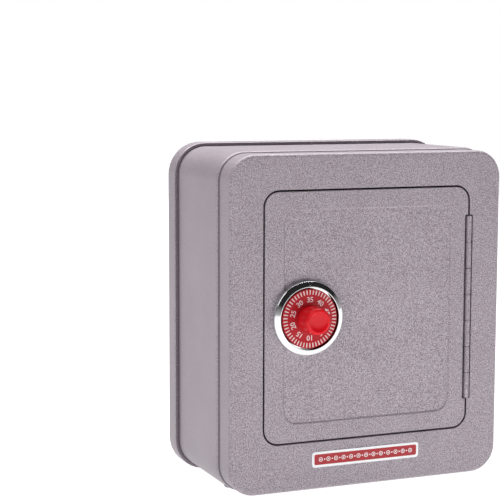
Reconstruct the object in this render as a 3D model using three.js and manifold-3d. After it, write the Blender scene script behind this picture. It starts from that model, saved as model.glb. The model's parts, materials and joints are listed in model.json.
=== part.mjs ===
// A toy safe coin bank in pressed steel, with a combination dial and a door alarm.
// Millimetres, +Z up, front face towards -Y. The origin is on the table, under the
// middle of the overall box. Depths called t are measured back from the front face.

import * as THREE from 'three';
import { mergeVertices } from 'three/addons/utils/BufferGeometryUtils.js';
import Module from 'manifold-3d';

const wasm = await Module();
wasm.setup();

// ---------------------------------------------------------------- driving sizes

const FIT = 0.3; // air between neighbouring pieces
const SHEET = 1.0; // casing steel
const DOOR_SHEET = 0.8; // door steel

// casing
const FRAME_W = 175;
const FRAME_H = 196;
const FRAME_R = 16; // outer corner radius of the front frame
const FRAME_EDGE = 2; // rounded front edge
const FRONT_RIM = 15.9; // frame side that shows in front of the body
const SKIRT_LAP = 8; // frame side that is hidden inside the body
const DEPTH = 95.2; // front face to rear rim
const BODY_STEP = SHEET + 0.2; // body stands out from the frame
const BACK_WALL = 2.1; // rim of the back cover, folded double
const BACK_STEP = BODY_STEP + FIT + BACK_WALL; // back cover stands out from the frame
const BACK_RIM = 13.9;
const BACK_EDGE = 3.5; // rounded rear edge
const BACK_DISH = 2; // the back panel is pressed in
const BACK_LAND = 14; // flat rim around the pressed panel
const REAR_FLANGE = 18;
const COIN_SLOT_W = 34;
const COIN_SLOT_H = 5;
const COIN_SLOT_DROP = 38; // below the top of the back cover
const CASE_SCREW_R = 1.3;
const CASE_SCREW_HEAD = 3;

// door
const DOOR_W = 131.9;
const DOOR_H = 145.5;
const DOOR_R = 8.7;
const DOOR_GAP = 0.9;
const DOOR_RISE = 3.95; // door centre above the frame centre
const DOOR_DEPTH = 8;
const FIELD_W = 106.6; // pressed panel in the door
const FIELD_H = 122.6;
const FIELD_R = 8;
const FIELD_SINK = 0.9;
const FLANGE_OVER = 1; // the opening's folded edge reaches behind the door

// hinge
const BARREL_R = 1.75;
const PIN_R = 0.7;
const LEAF = 0.7;
const KNUCKLES = 7;
const HINGE_L = 110.6;
const BARREL_AIR = 0.55;

// dial, measured from the middle of the door
const DIAL_X = -40;
const DIAL_R = 17.5;
const DIAL_T = -5; // front of the dial plate
const DIAL_PLATE = 1.8;
const RING_R = 21.5;
const CONE = 1.6; // depth of the cup's sloping front
const KNOB_R = 7.75;
const KNOB_OUT = 17.7; // knob stands out from the front face
const SPINDLE_R = 2.5;

// lock behind the door
const LOCK_W = 48;
const LOCK_MARGIN = 8.5; // case above and below the wheels
const LOCK_WALL = 1.2;
const WHEEL_R = 13;
const WHEEL = 1.8;
const WHEEL_AIR = 0.6;
const CAM_R = 10.3;
const BOLT = 1.8;
const BOLT_H = 25;
const BOLT_THROW = 5;
const LEVER_ARM = 14;
const FENCE = 3;
const GATE_DEPTH = 2.8;
const PIVOT_R = 1.5;
const SMALL_SCREW_R = 1; // lock and alarm screws
const SMALL_SCREW_HEAD = 2;

// alarm unit under the top of the casing
const ALARM_W = 72;
const ALARM_D = 22;
const ALARM_H = 31.5;
const ALARM_WALL = 1.6;
const CELL_R = 5.1;
const CELL_L = 44.5;
const PLUNGER_R = 2.2;
const PLUNGER_TRAVEL = 2.5;
const PLUNGER_DROP = 5.8; // below the top edge of the door
const PLUNGER_RISE = 6.5; // above the floor of the alarm case
const SWITCH_TRAVEL = 3;
const SWITCH_W = 4;
const BUZZER_R = 8;

// label and feet
const LABEL_W = 70;
const LABEL_H = 9.3;
const LABEL_X = -1;
const LABEL_RISE = 17.8; // label centre above the bottom of the frame
const FOOT_R = 4.5;

// ---------------------------------------------------------------- derived places

const FACE_Y = (KNOB_OUT - DEPTH) / 2;
const FRAME_Z = BACK_STEP + FRAME_H / 2; // middle of the casing
const DOOR_Z = FRAME_Z + DOOR_RISE;
const DIAL_Z = DOOR_Z;
const DOOR_X = DOOR_W / 2;
const HINGE_X = DOOR_X + DOOR_GAP / 2;
const SLOT = BARREL_R + BARREL_AIR;
const LEAF_AIR = FIT; // from the hinge axis to each leaf
const LEAF_BACK = LEAF_AIR + LEAF + FIT; // from the hinge axis to the folded edges
const KNUCKLE = HINGE_L / KNUCKLES;
const BODY_T = FRONT_RIM;
const OPENING_FLANGE = DOOR_DEPTH + FLANGE_OVER;
const FIELD_T = DEPTH - BACK_DISH;
const REAR_FLANGE_T = FIELD_T - SHEET - FIT;
const LOCK_T = DOOR_DEPTH + FIT;
const BOLT_T = OPENING_FLANGE + 0.8;
const CAM_T = BOLT_T + BOLT + WHEEL_AIR;
const WHEEL_T = [1, 2].map((n) => CAM_T + n * (WHEEL + WHEEL_AIR));
const CLIP_T = WHEEL_T[1] + WHEEL + FIT;
const LOCK_BACK_T = CLIP_T + 1.3;
const LOCK_H = 2 * (WHEEL_R + LOCK_MARGIN);
const LOCK_X = -DOOR_X + 1.95;
const ALARM_T = OPENING_FLANGE + 1.6;
const PLUNGER_Z = DOOR_Z + DOOR_H / 2 - PLUNGER_DROP;
const ALARM_Z0 = PLUNGER_Z - PLUNGER_RISE;
const ALARM_Z = ALARM_Z0 + ALARM_H;
const ALARM_X = -42;
const FOOT_X = FRAME_W / 2 - 16;
const FOOT_T = FRONT_RIM + 21;

// ---------------------------------------------------------------- shapes

function roundedRect(x0, x1, z0, z1, r) {
  const shape = new THREE.Shape();
  shape.moveTo(x0 + r, z0);
  shape.lineTo(x1 - r, z0);
  shape.absarc(x1 - r, z0 + r, r, -Math.PI / 2, 0, false);
  shape.lineTo(x1, z1 - r);
  shape.absarc(x1 - r, z1 - r, r, 0, Math.PI / 2, false);
  shape.lineTo(x0 + r, z1);
  shape.absarc(x0 + r, z1 - r, r, Math.PI / 2, Math.PI, false);
  shape.lineTo(x0, z0 + r);
  shape.absarc(x0 + r, z0 + r, r, Math.PI, 1.5 * Math.PI, false);
  return shape;
}

// A rounded rectangle around the middle of the casing, grown by a step.
function casingOutline(step) {
  const x = FRAME_W / 2 + step;
  const z = FRAME_H / 2 + step;
  return roundedRect(-x, x, FRAME_Z - z, FRAME_Z + z, FRAME_R + step);
}

// The door's outline, grown by a margin, with its own margin on the hinge side.
function doorOutline(margin, hingeMargin = margin) {
  const z = DOOR_H / 2 + margin;
  return roundedRect(-DOOR_X - margin, DOOR_X + hingeMargin, DOOR_Z - z, DOOR_Z + z, DOOR_R + margin);
}

function fieldOutline(margin) {
  const x = FIELD_W / 2 + margin;
  const z = FIELD_H / 2 + margin;
  return roundedRect(-x, x, DOOR_Z - z, DOOR_Z + z, FIELD_R + margin);
}

// An outline drawn in X and Z, made solid from depth t0 to t1.
function slab(shape, t0, t1, steps = 4) {
  const geometry = new THREE.ExtrudeGeometry(shape, {
    depth: t1 - t0,
    bevelEnabled: false,
    curveSegments: steps,
  });
  geometry.rotateX(Math.PI / 2);
  geometry.translate(0, FACE_Y + t1, 0);
  return solid(geometry);
}

// The same with both ends rounded.
function softSlab(shape, t0, t1, r) {
  const geometry = new THREE.ExtrudeGeometry(shape, {
    depth: t1 - t0 - 2 * r,
    bevelThickness: r,
    bevelSize: r,
    bevelOffset: -r,
    bevelSegments: 3,
    curveSegments: 4,
  });
  geometry.rotateX(Math.PI / 2);
  geometry.translate(0, FACE_Y + t1 - r, 0);
  return solid(geometry);
}

function box(x0, x1, t0, t1, z0, z1) {
  const geometry = new THREE.BoxGeometry(x1 - x0, t1 - t0, z1 - z0);
  geometry.translate((x0 + x1) / 2, FACE_Y + (t0 + t1) / 2, (z0 + z1) / 2);
  return solid(geometry);
}

function rod(x, z, r, t0, t1, sides = 16) {
  const geometry = new THREE.CylinderGeometry(r, r, t1 - t0, sides);
  geometry.translate(x, FACE_Y + (t0 + t1) / 2, z);
  return solid(geometry);
}

function uprightRod(x, t, r, z0, z1, sides = 12) {
  const geometry = new THREE.CylinderGeometry(r, r, z1 - z0, sides);
  geometry.rotateX(Math.PI / 2);
  geometry.translate(x, FACE_Y + t, (z0 + z1) / 2);
  return solid(geometry);
}

// A profile of [radius, depth] pairs turned about an axis that runs front to back.
// Its points may run either way round.
function turned(profile, x, z, sides) {
  const points = profile.map(([r, t]) => new THREE.Vector2(r, t));
  if (THREE.ShapeUtils.area(points) < 0) {
    points.reverse();
  }
  const geometry = new THREE.LatheGeometry(points, sides);
  geometry.translate(x, FACE_Y, z);
  return solid(geometry);
}

class Helix extends THREE.Curve {
  constructor(start, along, length, radius, turns) {
    super();
    Object.assign(this, { start, along, length, radius, turns });
  }

  getPoint(u) {
    const angle = 2 * Math.PI * this.turns * u;
    const side = this.along.x ? new THREE.Vector3(0, 1, 0) : new THREE.Vector3(1, 0, 0);
    return this.start
      .clone()
      .addScaledVector(this.along, this.length * u)
      .addScaledVector(side, this.radius * Math.cos(angle))
      .addScaledVector(new THREE.Vector3(0, 0, 1), this.radius * Math.sin(angle));
  }
}

function coil(x, t, z, along, length, radius, wire, turns) {
  const path = new Helix(new THREE.Vector3(x, FACE_Y + t, z), along, length, radius, turns);
  const section = new THREE.Shape();
  section.absarc(0, 0, wire / 2, 0, 2 * Math.PI, false);
  const steps = Math.round(turns * 9);
  const geometry = new THREE.ExtrudeGeometry(section, { steps, extrudePath: path, curveSegments: 3 });
  return solid(geometry);
}

// The same body with a clearance hole for a screw at each centre.
function drilled(body, centres, screwR, t0, t1) {
  return centres.reduce((rest, [x, z]) => rest.subtract(rod(x, z, screwR + FIT, t0, t1, 12)), body);
}

function solid(geometry) {
  const bare = geometry.clone();
  bare.deleteAttribute('normal');
  bare.deleteAttribute('uv');
  const merged = mergeVertices(bare, 1e-4);
  const mesh = new wasm.Mesh({
    numProp: 3,
    vertProperties: new Float32Array(merged.attributes.position.array),
    triVerts: new Uint32Array(merged.index.array),
  });
  return new wasm.Manifold(mesh);
}

function toGeometry(body) {
  const mesh = body.getMesh();
  const geometry = new THREE.BufferGeometry();
  geometry.setAttribute('position', new THREE.BufferAttribute(mesh.vertProperties, 3));
  geometry.setIndex(new THREE.BufferAttribute(mesh.triVerts, 1));
  geometry.computeVertexNormals();
  return geometry;
}

// ---------------------------------------------------------------- materials

function finish(color, roughness, metalness) {
  return new THREE.MeshStandardMaterial({ color, roughness, metalness });
}

const hammered = finish(0xa69ca3, 0.55, 0.2);
const chrome = finish(0xd6d8dc, 0.12, 1);
const zinc = finish(0xb4b2ac, 0.4, 0.9);
const brass = finish(0xb79a55, 0.35, 0.9);
const redPlastic = finish(0xa8262c, 0.3, 0);
const redPrint = finish(0xa3262b, 0.45, 0);
const blackPlastic = finish(0x26252a, 0.5, 0);
const greyRubber = finish(0x8f878d, 0.8, 0);
const boardGreen = finish(0x2d5b3a, 0.5, 0);
const cellWrap = finish(0x39557c, 0.35, 0.3);

const toySafe = new THREE.Group();

function piece(name, body, material) {
  const mesh = new THREE.Mesh(toGeometry(body), material);
  mesh.name = name;
  toySafe.add(mesh);
}

// ---------------------------------------------------------------- casing

// Front frame: a pressed pan with the door opening folded inwards.
function frontFrame() {
  const end = BODY_T + SKIRT_LAP;
  const pan = softSlab(casingOutline(0), 0, end + FRAME_EDGE, FRAME_EDGE)
    .subtract(softSlab(casingOutline(-SHEET), SHEET, end + 9, FRAME_EDGE - SHEET))
    .subtract(box(-FRAME_W, FRAME_W, end, end + 9, -FRAME_H, 2 * FRAME_H));
  const hingeSide = HINGE_X + LEAF_BACK - DOOR_X;
  const fold = slab(doorOutline(DOOR_GAP + SHEET, hingeSide + SHEET), SHEET / 2, OPENING_FLANGE)
    .subtract(slab(doorOutline(DOOR_GAP, hingeSide), 0, OPENING_FLANGE + 1));
  const half = HINGE_L / 2 + FIT;
  const barrelSlot = box(0, HINGE_X + SLOT, -1, SLOT, DOOR_Z - half, DOOR_Z + half);
  return pan
    .subtract(slab(doorOutline(DOOR_GAP), -1, SHEET + 1))
    .add(fold)
    .subtract(barrelSlot);
}

piece('front_frame', frontFrame(), hammered);

// Body: a seamless band with an inturned flange at the rear.
function bodyShell() {
  const rear = REAR_FLANGE_T;
  const band = slab(casingOutline(BODY_STEP), BODY_T, rear)
    .subtract(slab(casingOutline(BODY_STEP - SHEET), BODY_T - 1, rear - SHEET))
    .subtract(slab(rearOpening(), rear - SHEET - 1, rear + 1));
  return drilled(band, rearScrews(), CASE_SCREW_R, rear - 3, rear + 1);
}

function rearOpening() {
  const x = FRAME_W / 2 + BODY_STEP - REAR_FLANGE;
  const z = FRAME_H / 2 + BODY_STEP - REAR_FLANGE;
  return roundedRect(-x, x, FRAME_Z - z, FRAME_Z + z, 6);
}

function rearScrews() {
  const x = FRAME_W / 2 + BACK_STEP - BACK_LAND - 5;
  const z = FRAME_H / 2 - 36;
  return [[-x, FRAME_Z - z], [x, FRAME_Z - z], [-x, FRAME_Z + z], [x, FRAME_Z + z]];
}

piece('body_shell', bodyShell(), hammered);

// Back cover: a deep pan over the body, its panel pressed in, with the coin slot.
function backCover() {
  const front = DEPTH - BACK_RIM;
  const x = FRAME_W / 2 + BACK_STEP - BACK_LAND;
  const z = FRAME_H / 2 + BACK_STEP - BACK_LAND;
  const panel = roundedRect(-x, x, FRAME_Z - z, FRAME_Z + z, 9);
  const slotZ = FRAME_Z + FRAME_H / 2 + BACK_STEP - COIN_SLOT_DROP;
  const slotX = COIN_SLOT_W / 2;
  const coinSlot = roundedRect(-slotX, slotX, slotZ - COIN_SLOT_H / 2, slotZ + COIN_SLOT_H / 2, 2);
  const pan = softSlab(casingOutline(BACK_STEP), front - BACK_EDGE, DEPTH, BACK_EDGE)
    .subtract(box(-FRAME_W, FRAME_W, front - 9, front, -FRAME_H, 2 * FRAME_H))
    .subtract(slab(casingOutline(BODY_STEP + FIT), front - 1, REAR_FLANGE_T + FIT))
    .subtract(slab(panel, FIELD_T, DEPTH + 1))
    .subtract(slab(coinSlot, REAR_FLANGE_T - 5, DEPTH + 1));
  return drilled(pan, rearScrews(), CASE_SCREW_R, FIELD_T - 3, DEPTH);
}

piece('back_cover', backCover(), hammered);

function panScrew(x, z, under, shankEnd, headR, shankR) {
  const out = Math.sign(under - shankEnd);
  const seat = under + out * FIT / 2;
  const top = seat + out * headR * 0.45;
  const shank = [[0, shankEnd], [shankR, shankEnd], [shankR, seat]];
  const head = [[headR, seat], [headR * 0.75, top], [0, top]];
  return turned([...shank, ...head], x, z, 12);
}

rearScrews().forEach(([x, z], n) => {
  const under = FIELD_T;
  const shankEnd = REAR_FLANGE_T - 4;
  piece(`back_screw_${n + 1}`, panScrew(x, z, under, shankEnd, CASE_SCREW_HEAD, CASE_SCREW_R), zinc);
});

// Two low feet level the front of the body with the back cover's lower edge.
function foot(side) {
  const seat = BACK_STEP - BODY_STEP - FIT / 2;
  const profile = [[0, 0], [FOOT_R * 0.7, 0], [FOOT_R, 1], [FOOT_R, seat], [0, seat]];
  const points = profile.map(([r, z]) => new THREE.Vector2(r, z));
  const geometry = new THREE.LatheGeometry(points, 16);
  geometry.rotateX(Math.PI / 2);
  geometry.translate(side * FOOT_X, FACE_Y + FOOT_T, 0);
  return solid(geometry);
}

piece('front_foot_left', foot(-1), greyRubber);
piece('front_foot_right', foot(1), greyRubber);

// Printed label on the rail under the door.
function label() {
  const z = BACK_STEP + LABEL_RISE;
  const x = LABEL_W / 2;
  const outline = roundedRect(LABEL_X - x, LABEL_X + x, z - LABEL_H / 2, z + LABEL_H / 2, 2);
  return slab(outline, -0.6, -0.2, 2);
}

piece('label', label(), redPrint);

// ---------------------------------------------------------------- hinge

// One leaf of the piano hinge with every second knuckle. side is 1 on the frame.
function hingeLeaf(side, first) {
  const z0 = DOOR_Z - HINGE_L / 2;
  const x0 = HINGE_X + (side > 0 ? LEAF_AIR : -LEAF_AIR - LEAF);
  const reach = DOOR_DEPTH - FIT;
  let leaf = box(x0, x0 + LEAF, SLOT, reach, z0 + FIT / 2, z0 + HINGE_L - FIT / 2);
  for (let n = first; n < KNUCKLES; n += 2) {
    const low = z0 + n * KNUCKLE + FIT / 2;
    const high = z0 + (n + 1) * KNUCKLE - FIT / 2;
    leaf = leaf.add(uprightRod(HINGE_X, 0, BARREL_R, low, high, 16));
    leaf = leaf.add(box(x0, x0 + LEAF, BARREL_R / 2, SLOT + 0.1, low, high));
  }
  return leaf.subtract(uprightRod(HINGE_X, 0, PIN_R + FIT, z0 - 1, z0 + HINGE_L + 1, 12));
}

piece('hinge_frame_leaf', hingeLeaf(1, 0), hammered);
piece('hinge_door_leaf', hingeLeaf(-1, 1), hammered);
piece('hinge_pin', uprightRod(HINGE_X, 0, PIN_R, DOOR_Z - HINGE_L / 2, DOOR_Z + HINGE_L / 2, 10), zinc);

// ---------------------------------------------------------------- door

// Door skin: a pressed pan with a sunk field, its edges folded back.
function doorSkin() {
  const hingeSide = HINGE_X - LEAF_BACK - DOOR_X;
  const plate = slab(doorOutline(0), 0, DOOR_SHEET);
  const fold = slab(doorOutline(0, hingeSide), DOOR_SHEET / 2, DOOR_DEPTH)
    .subtract(slab(doorOutline(-DOOR_SHEET, hingeSide - DOOR_SHEET), 0, DOOR_DEPTH + 1));
  const half = HINGE_L / 2 + FIT;
  return plate
    .add(fold)
    .add(slab(fieldOutline(DOOR_SHEET), DOOR_SHEET / 2, DOOR_SHEET + FIELD_SINK))
    .subtract(slab(fieldOutline(0), -1, FIELD_SINK))
    .subtract(box(HINGE_X - SLOT, HINGE_X + 5, -1, SLOT, DOOR_Z - half, DOOR_Z + half))
    .subtract(rod(DIAL_X, DIAL_Z, SPINDLE_R + FIT, -1, 5));
}

piece('door_skin', doorSkin(), hammered);

// Flat liner inside the folded edges.
const LINER_T = DOOR_DEPTH - DOOR_SHEET;
const inside = -DOOR_SHEET - FIT;
const liner = slab(doorOutline(inside, HINGE_X - LEAF_BACK - DOOR_X + inside), LINER_T, DOOR_DEPTH)
  .subtract(rod(DIAL_X, DIAL_Z, SPINDLE_R + 2 + FIT, LINER_T - 1, DOOR_DEPTH + 1));
piece('door_liner', liner, zinc);

// ---------------------------------------------------------------- dial

// Bright cup that carries the dial. Its skirt reaches down to the sunk field, and
// is cut back where the cup stands on the door's raised border.
function dialRing() {
  const base = FIELD_SINK - 0.2;
  const lip = DIAL_T - 0.3;
  const inner = DIAL_R + 0.6;
  const cup = turned([
    [SPINDLE_R + 0.7, -0.2], [RING_R - 2, -0.2], [RING_R - 2, base], [RING_R, base],
    [RING_R, lip + CONE + 0.4], [RING_R - 0.5, lip + CONE], [inner + 0.8, lip + 0.2],
    [inner + 0.5, lip], [inner, lip + 0.2],
    [inner, -1.2], [SPINDLE_R + 0.7, -1.2], [SPINDLE_R + 0.7, -0.2],
  ], DIAL_X, DIAL_Z, 48);
  const edge = -FIELD_W / 2 + FIT;
  return cup.subtract(box(DIAL_X - RING_R - 1, edge, -0.2, 3, DIAL_Z - RING_R, DIAL_Z + RING_R));
}

piece('dial_ring', dialRing(), chrome);

const plateBack = DIAL_T + DIAL_PLATE;
const dialPlate = turned([
  [SPINDLE_R + FIT, plateBack], [DIAL_R - 0.6, plateBack], [DIAL_R, plateBack - 0.6],
  [DIAL_R, DIAL_T + 0.5], [DIAL_R - 0.5, DIAL_T], [SPINDLE_R + FIT, DIAL_T], [SPINDLE_R + FIT, plateBack],
], DIAL_X, DIAL_Z, 48);
piece('dial_plate', dialPlate, redPrint);

const knobBack = DIAL_T - FIT;
const boreEnd = -KNOB_OUT + 3;
const knob = turned([
  [SPINDLE_R + FIT, knobBack], [KNOB_R, knobBack], [KNOB_R, -KNOB_OUT + 1.4],
  [KNOB_R - 0.4, -KNOB_OUT + 0.5], [KNOB_R - 1.3, -KNOB_OUT], [KNOB_R - 2.2, -KNOB_OUT + 0.15],
  [0, -KNOB_OUT + 0.5], [0, boreEnd], [SPINDLE_R + FIT, boreEnd], [SPINDLE_R + FIT, knobBack],
], DIAL_X, DIAL_Z, 32);
piece('dial_knob', knob, redPlastic);

piece('dial_spindle', rod(DIAL_X, DIAL_Z, SPINDLE_R, boreEnd + FIT, LOCK_BACK_T - FIT, 16), zinc);

const bushR = SPINDLE_R + 1.7;
const bush = rod(DIAL_X, DIAL_Z, bushR, FIELD_SINK + DOOR_SHEET + FIT, DOOR_DEPTH + FIT, 20)
  .subtract(rod(DIAL_X, DIAL_Z, SPINDLE_R + FIT, 0, DOOR_DEPTH + 2, 20));
piece('spindle_bush', bush, brass);

// ---------------------------------------------------------------- lock wheels

// Each wheel is stamped with two opposite gates, so it works either way up. A gate is wide
// enough for the fence to slide sideways as the bolt moves.
function gates(t, thickness) {
  const far = FENCE / 2 + BOLT_THROW + 0.5;
  const near = FENCE / 2 + 0.7;
  const floor = WHEEL_R - GATE_DEPTH;
  const rim = WHEEL_R + 1;
  const end = t + thickness + 1;
  const upper = box(DIAL_X - far, DIAL_X + near, t - 1, end, DIAL_Z + floor, DIAL_Z + rim);
  const lower = box(DIAL_X - near, DIAL_X + far, t - 1, end, DIAL_Z - rim, DIAL_Z - floor);
  return upper.add(lower);
}

function disc(t, radius, thickness) {
  return rod(DIAL_X, DIAL_Z, radius, t, t + thickness, 32)
    .subtract(rod(DIAL_X, DIAL_Z, SPINDLE_R + FIT, t - 1, t + thickness + 1, 16));
}

const camNotch = box(DIAL_X - 2, DIAL_X + 2, CAM_T - 1, CAM_T + 3, DIAL_Z + CAM_R - 3, DIAL_Z + CAM_R + 1);
piece('drive_cam', disc(CAM_T, CAM_R, WHEEL).subtract(camNotch), zinc);
WHEEL_T.forEach((t, n) => {
  piece(`wheel_${n + 1}`, disc(t, WHEEL_R, WHEEL).subtract(gates(t, WHEEL)), brass);
});
piece('spindle_clip', disc(CLIP_T, SPINDLE_R + 2, 0.7), zinc);

// ---------------------------------------------------------------- bolt and lever

const LEVER_X = DIAL_X - LEVER_ARM;
const LEVER_Z = DIAL_Z + WHEEL_R + 3.4;
const BOLT_TIP = -DOOR_X + 0.95;
const TAB_X = DIAL_X - 1;
const TAB_DROP = 5.5;

function latchBolt() {
  const half = BOLT_H / 2;
  const slot = SPINDLE_R + 2 * FIT;
  const slotEnd = DIAL_X + slot + BOLT_THROW + 1.2;
  const end = slotEnd + 2.4;
  const ear = box(LEVER_X - 3.4, LEVER_X + 3.4, BOLT_T, BOLT_T + BOLT, DIAL_Z + half - 1, LEVER_Z + 2.6);
  const tab = box(TAB_X, TAB_X + 3, BOLT_T, BOLT_T + BOLT, DIAL_Z - half - TAB_DROP, DIAL_Z - half + 1);
  const slotStart = DIAL_X - slot - 1.2;
  const clear = box(slotStart, slotEnd, BOLT_T - 1, BOLT_T + BOLT + 1, DIAL_Z - slot, DIAL_Z + slot);
  return box(BOLT_TIP, end, BOLT_T, BOLT_T + BOLT, DIAL_Z - half, DIAL_Z + half)
    .add(ear)
    .add(tab)
    .subtract(clear);
}

piece('latch_bolt', latchBolt(), zinc);
piece('lever_pivot', rod(LEVER_X, LEVER_Z, PIVOT_R, BOLT_T + BOLT + FIT, CAM_T + WHEEL + FIT, 12), zinc);

function fenceLever() {
  const bottom = DIAL_Z + WHEEL_R + 0.7;
  const t0 = CAM_T - 0.1;
  const bar = roundedRect(LEVER_X - 2.5, DIAL_X + FENCE / 2, LEVER_Z - 2.2, LEVER_Z + 2.2, 1.8);
  return slab(bar, t0, t0 + WHEEL, 2)
    .add(box(DIAL_X - FENCE / 2, DIAL_X + FENCE / 2, t0, WHEEL_T[1] + WHEEL, bottom, LEVER_Z + 1))
    .subtract(rod(LEVER_X, LEVER_Z, PIVOT_R + FIT, t0 - 1, t0 + 3, 12));
}

piece('fence_lever', fenceLever(), zinc);

// ---------------------------------------------------------------- lock case

const LOCK_Z0 = DIAL_Z - LOCK_H / 2 + 0.5;
const LOCK_Z1 = LOCK_Z0 + LOCK_H;
const LOCK_X1 = LOCK_X + LOCK_W;
const BOSS = 5;
const BOSS_T = CAM_T + WHEEL + 0.5;
const SPRING_Z = DIAL_Z - BOLT_H / 2 - 3;
const POST_X = LOCK_X + LOCK_WALL + 2;

function bossCentres() {
  const a = LOCK_WALL + BOSS / 2;
  return [
    [LOCK_X + a, LOCK_Z0 + a], [LOCK_X1 - a, LOCK_Z0 + a],
    [LOCK_X + a, LOCK_Z1 - a], [LOCK_X1 - a, LOCK_Z1 - a],
  ];
}

function lockCase() {
  const w = LOCK_WALL;
  let body = box(LOCK_X, LOCK_X1, LOCK_T, LOCK_BACK_T, LOCK_Z0, LOCK_Z1)
    .subtract(box(LOCK_X + w, LOCK_X1 - w, LOCK_T - 1, LOCK_BACK_T + 1, LOCK_Z0 + w, LOCK_Z1 - w));
  for (const [x, z] of bossCentres()) {
    const h = BOSS / 2 + 0.1;
    body = body.add(box(x - h, x + h, BOSS_T, LOCK_BACK_T, z - h, z + h));
  }
  body = drilled(body, bossCentres(), SMALL_SCREW_R, BOSS_T + 1, LOCK_BACK_T + 1);
  const lug = box(LOCK_X + w / 2, POST_X + 1, BOLT_T - 1, BOLT_T + BOLT, LOCK_Z0 + w / 2, SPRING_Z + 2);
  const side = BOLT_H / 2 + FIT;
  const mouthEnd = BOLT_T + BOLT + FIT;
  const mouth = box(LOCK_X - 1, LOCK_X + w + 0.1, LOCK_T - 1, mouthEnd, DIAL_Z - side, DIAL_Z + side);
  return body.add(lug).subtract(mouth);
}

piece('lock_case', lockCase(), zinc);

const springStart = POST_X + 1 + FIT;
const springLength = TAB_X - springStart - FIT;
const sideways = new THREE.Vector3(1, 0, 0);
const boltSpring = coil(springStart, BOLT_T + BOLT / 2, SPRING_Z, sideways, springLength, 1.3, 0.6, 9);
piece('bolt_spring', boltSpring, zinc);

const backT = LOCK_BACK_T + FIT;
const lockPlate = slab(roundedRect(LOCK_X, LOCK_X1, LOCK_Z0, LOCK_Z1, 2), backT, backT + LOCK_WALL, 2);
piece('lock_plate', drilled(lockPlate, bossCentres(), SMALL_SCREW_R, backT - 1, backT + 3), zinc);
bossCentres().forEach(([x, z], n) => {
  const seat = backT + LOCK_WALL;
  piece(`lock_screw_${n + 1}`, panScrew(x, z, seat, BOSS_T + 2, SMALL_SCREW_HEAD, SMALL_SCREW_R), zinc);
});

// ---------------------------------------------------------------- alarm unit

const ALARM_X1 = ALARM_X + ALARM_W;
const ALARM_T1 = ALARM_T + ALARM_D;
const BAY_X1 = ALARM_X + ALARM_WALL + FIT + CELL_L + 4.5; // end of the battery bay
const CELL_T = ALARM_T + ALARM_WALL + CELL_R + 2.4;
const BAY_WALL = 1.2;
const PLUNGER_X = (BAY_X1 + BAY_WALL + ALARM_X1 - ALARM_WALL) / 2;
const SWITCH_X = PLUNGER_X - SWITCH_W;
const SWITCH_D = 2.9;
const SWITCH_T = ALARM_T1 - 8.3;
const SCREW_Z = ALARM_Z - ALARM_WALL - 2.6;
const ALARM_SCREWS = [[-20, SCREW_Z], [0, SCREW_Z]];

function alarmCase() {
  const w = ALARM_WALL;
  let body = box(ALARM_X, ALARM_X1, ALARM_T, ALARM_T1, ALARM_Z0, ALARM_Z)
    .subtract(box(ALARM_X + w, ALARM_X1 - w, ALARM_T + w, ALARM_T1 + 1, ALARM_Z0 + w, ALARM_Z - w))
    .add(box(BAY_X1, BAY_X1 + BAY_WALL, ALARM_T + w / 2, ALARM_T1, ALARM_Z0 + w / 2, ALARM_Z - w / 2));
  for (const [x] of ALARM_SCREWS) {
    body = body.add(box(x - 2.5, x + 2.5, ALARM_T1 - 10, ALARM_T1, SCREW_Z - 2.5, ALARM_Z - w / 2));
  }
  const bayHalf = CELL_R + 2 * FIT;
  const low = ALARM_Z0 - 1;
  const floor = ALARM_Z0 + w + 0.1;
  const bayMouth = box(ALARM_X + 3, BAY_X1 - 3, CELL_T - bayHalf, CELL_T + bayHalf, low, floor);
  const switchX1 = SWITCH_X + SWITCH_W + SWITCH_TRAVEL + FIT;
  const switchSlot = box(SWITCH_X - FIT, switchX1, SWITCH_T - FIT, SWITCH_T + SWITCH_D + FIT, low, floor);
  return drilled(body, ALARM_SCREWS, SMALL_SCREW_R, ALARM_T1 - 9, ALARM_T1 + 1)
    .subtract(bayMouth)
    .subtract(rod(PLUNGER_X, PLUNGER_Z, PLUNGER_R + FIT, ALARM_T - 1, ALARM_T + w + 1, 16))
    .subtract(switchSlot);
}

piece('alarm_case', alarmCase(), blackPlastic);

const alarmBackT = ALARM_T1 + FIT;
const ALARM_LID = 1.2;
const BUZZER_Z = ALARM_Z0 + 18.5;

function alarmBack() {
  let plate = box(ALARM_X, ALARM_X1, alarmBackT, alarmBackT + ALARM_LID, ALARM_Z0, ALARM_Z);
  plate = drilled(plate, ALARM_SCREWS, SMALL_SCREW_R, alarmBackT - 1, alarmBackT + 3);
  for (let n = 0; n < 7; n += 1) {
    const r = n ? 4.6 : 0;
    const a = (n * Math.PI) / 3;
    plate = plate.subtract(
      rod(PLUNGER_X + r * Math.cos(a), BUZZER_Z + r * Math.sin(a), 1, alarmBackT - 1, alarmBackT + 3, 8));
  }
  return plate;
}

piece('alarm_back', alarmBack(), blackPlastic);

// Bent strap spot-welded under the top of the body.
const BRACKET_T = alarmBackT + ALARM_LID + FIT;
const STRAP = 1.2;
const BRACKET_TOP = FRAME_Z + FRAME_H / 2 + BODY_STEP - SHEET - FIT;

function alarmBracket() {
  const x0 = ALARM_SCREWS[0][0] - 6;
  const x1 = ALARM_SCREWS[1][0] + 6;
  const strap = box(x0, x1, BRACKET_T, BRACKET_T + STRAP, SCREW_Z - 6, BRACKET_TOP)
    .add(box(x0, x1, BRACKET_T, BRACKET_T + 22, BRACKET_TOP - STRAP, BRACKET_TOP));
  return drilled(strap, ALARM_SCREWS, SMALL_SCREW_R, BRACKET_T - 1, BRACKET_T + 3);
}

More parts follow.
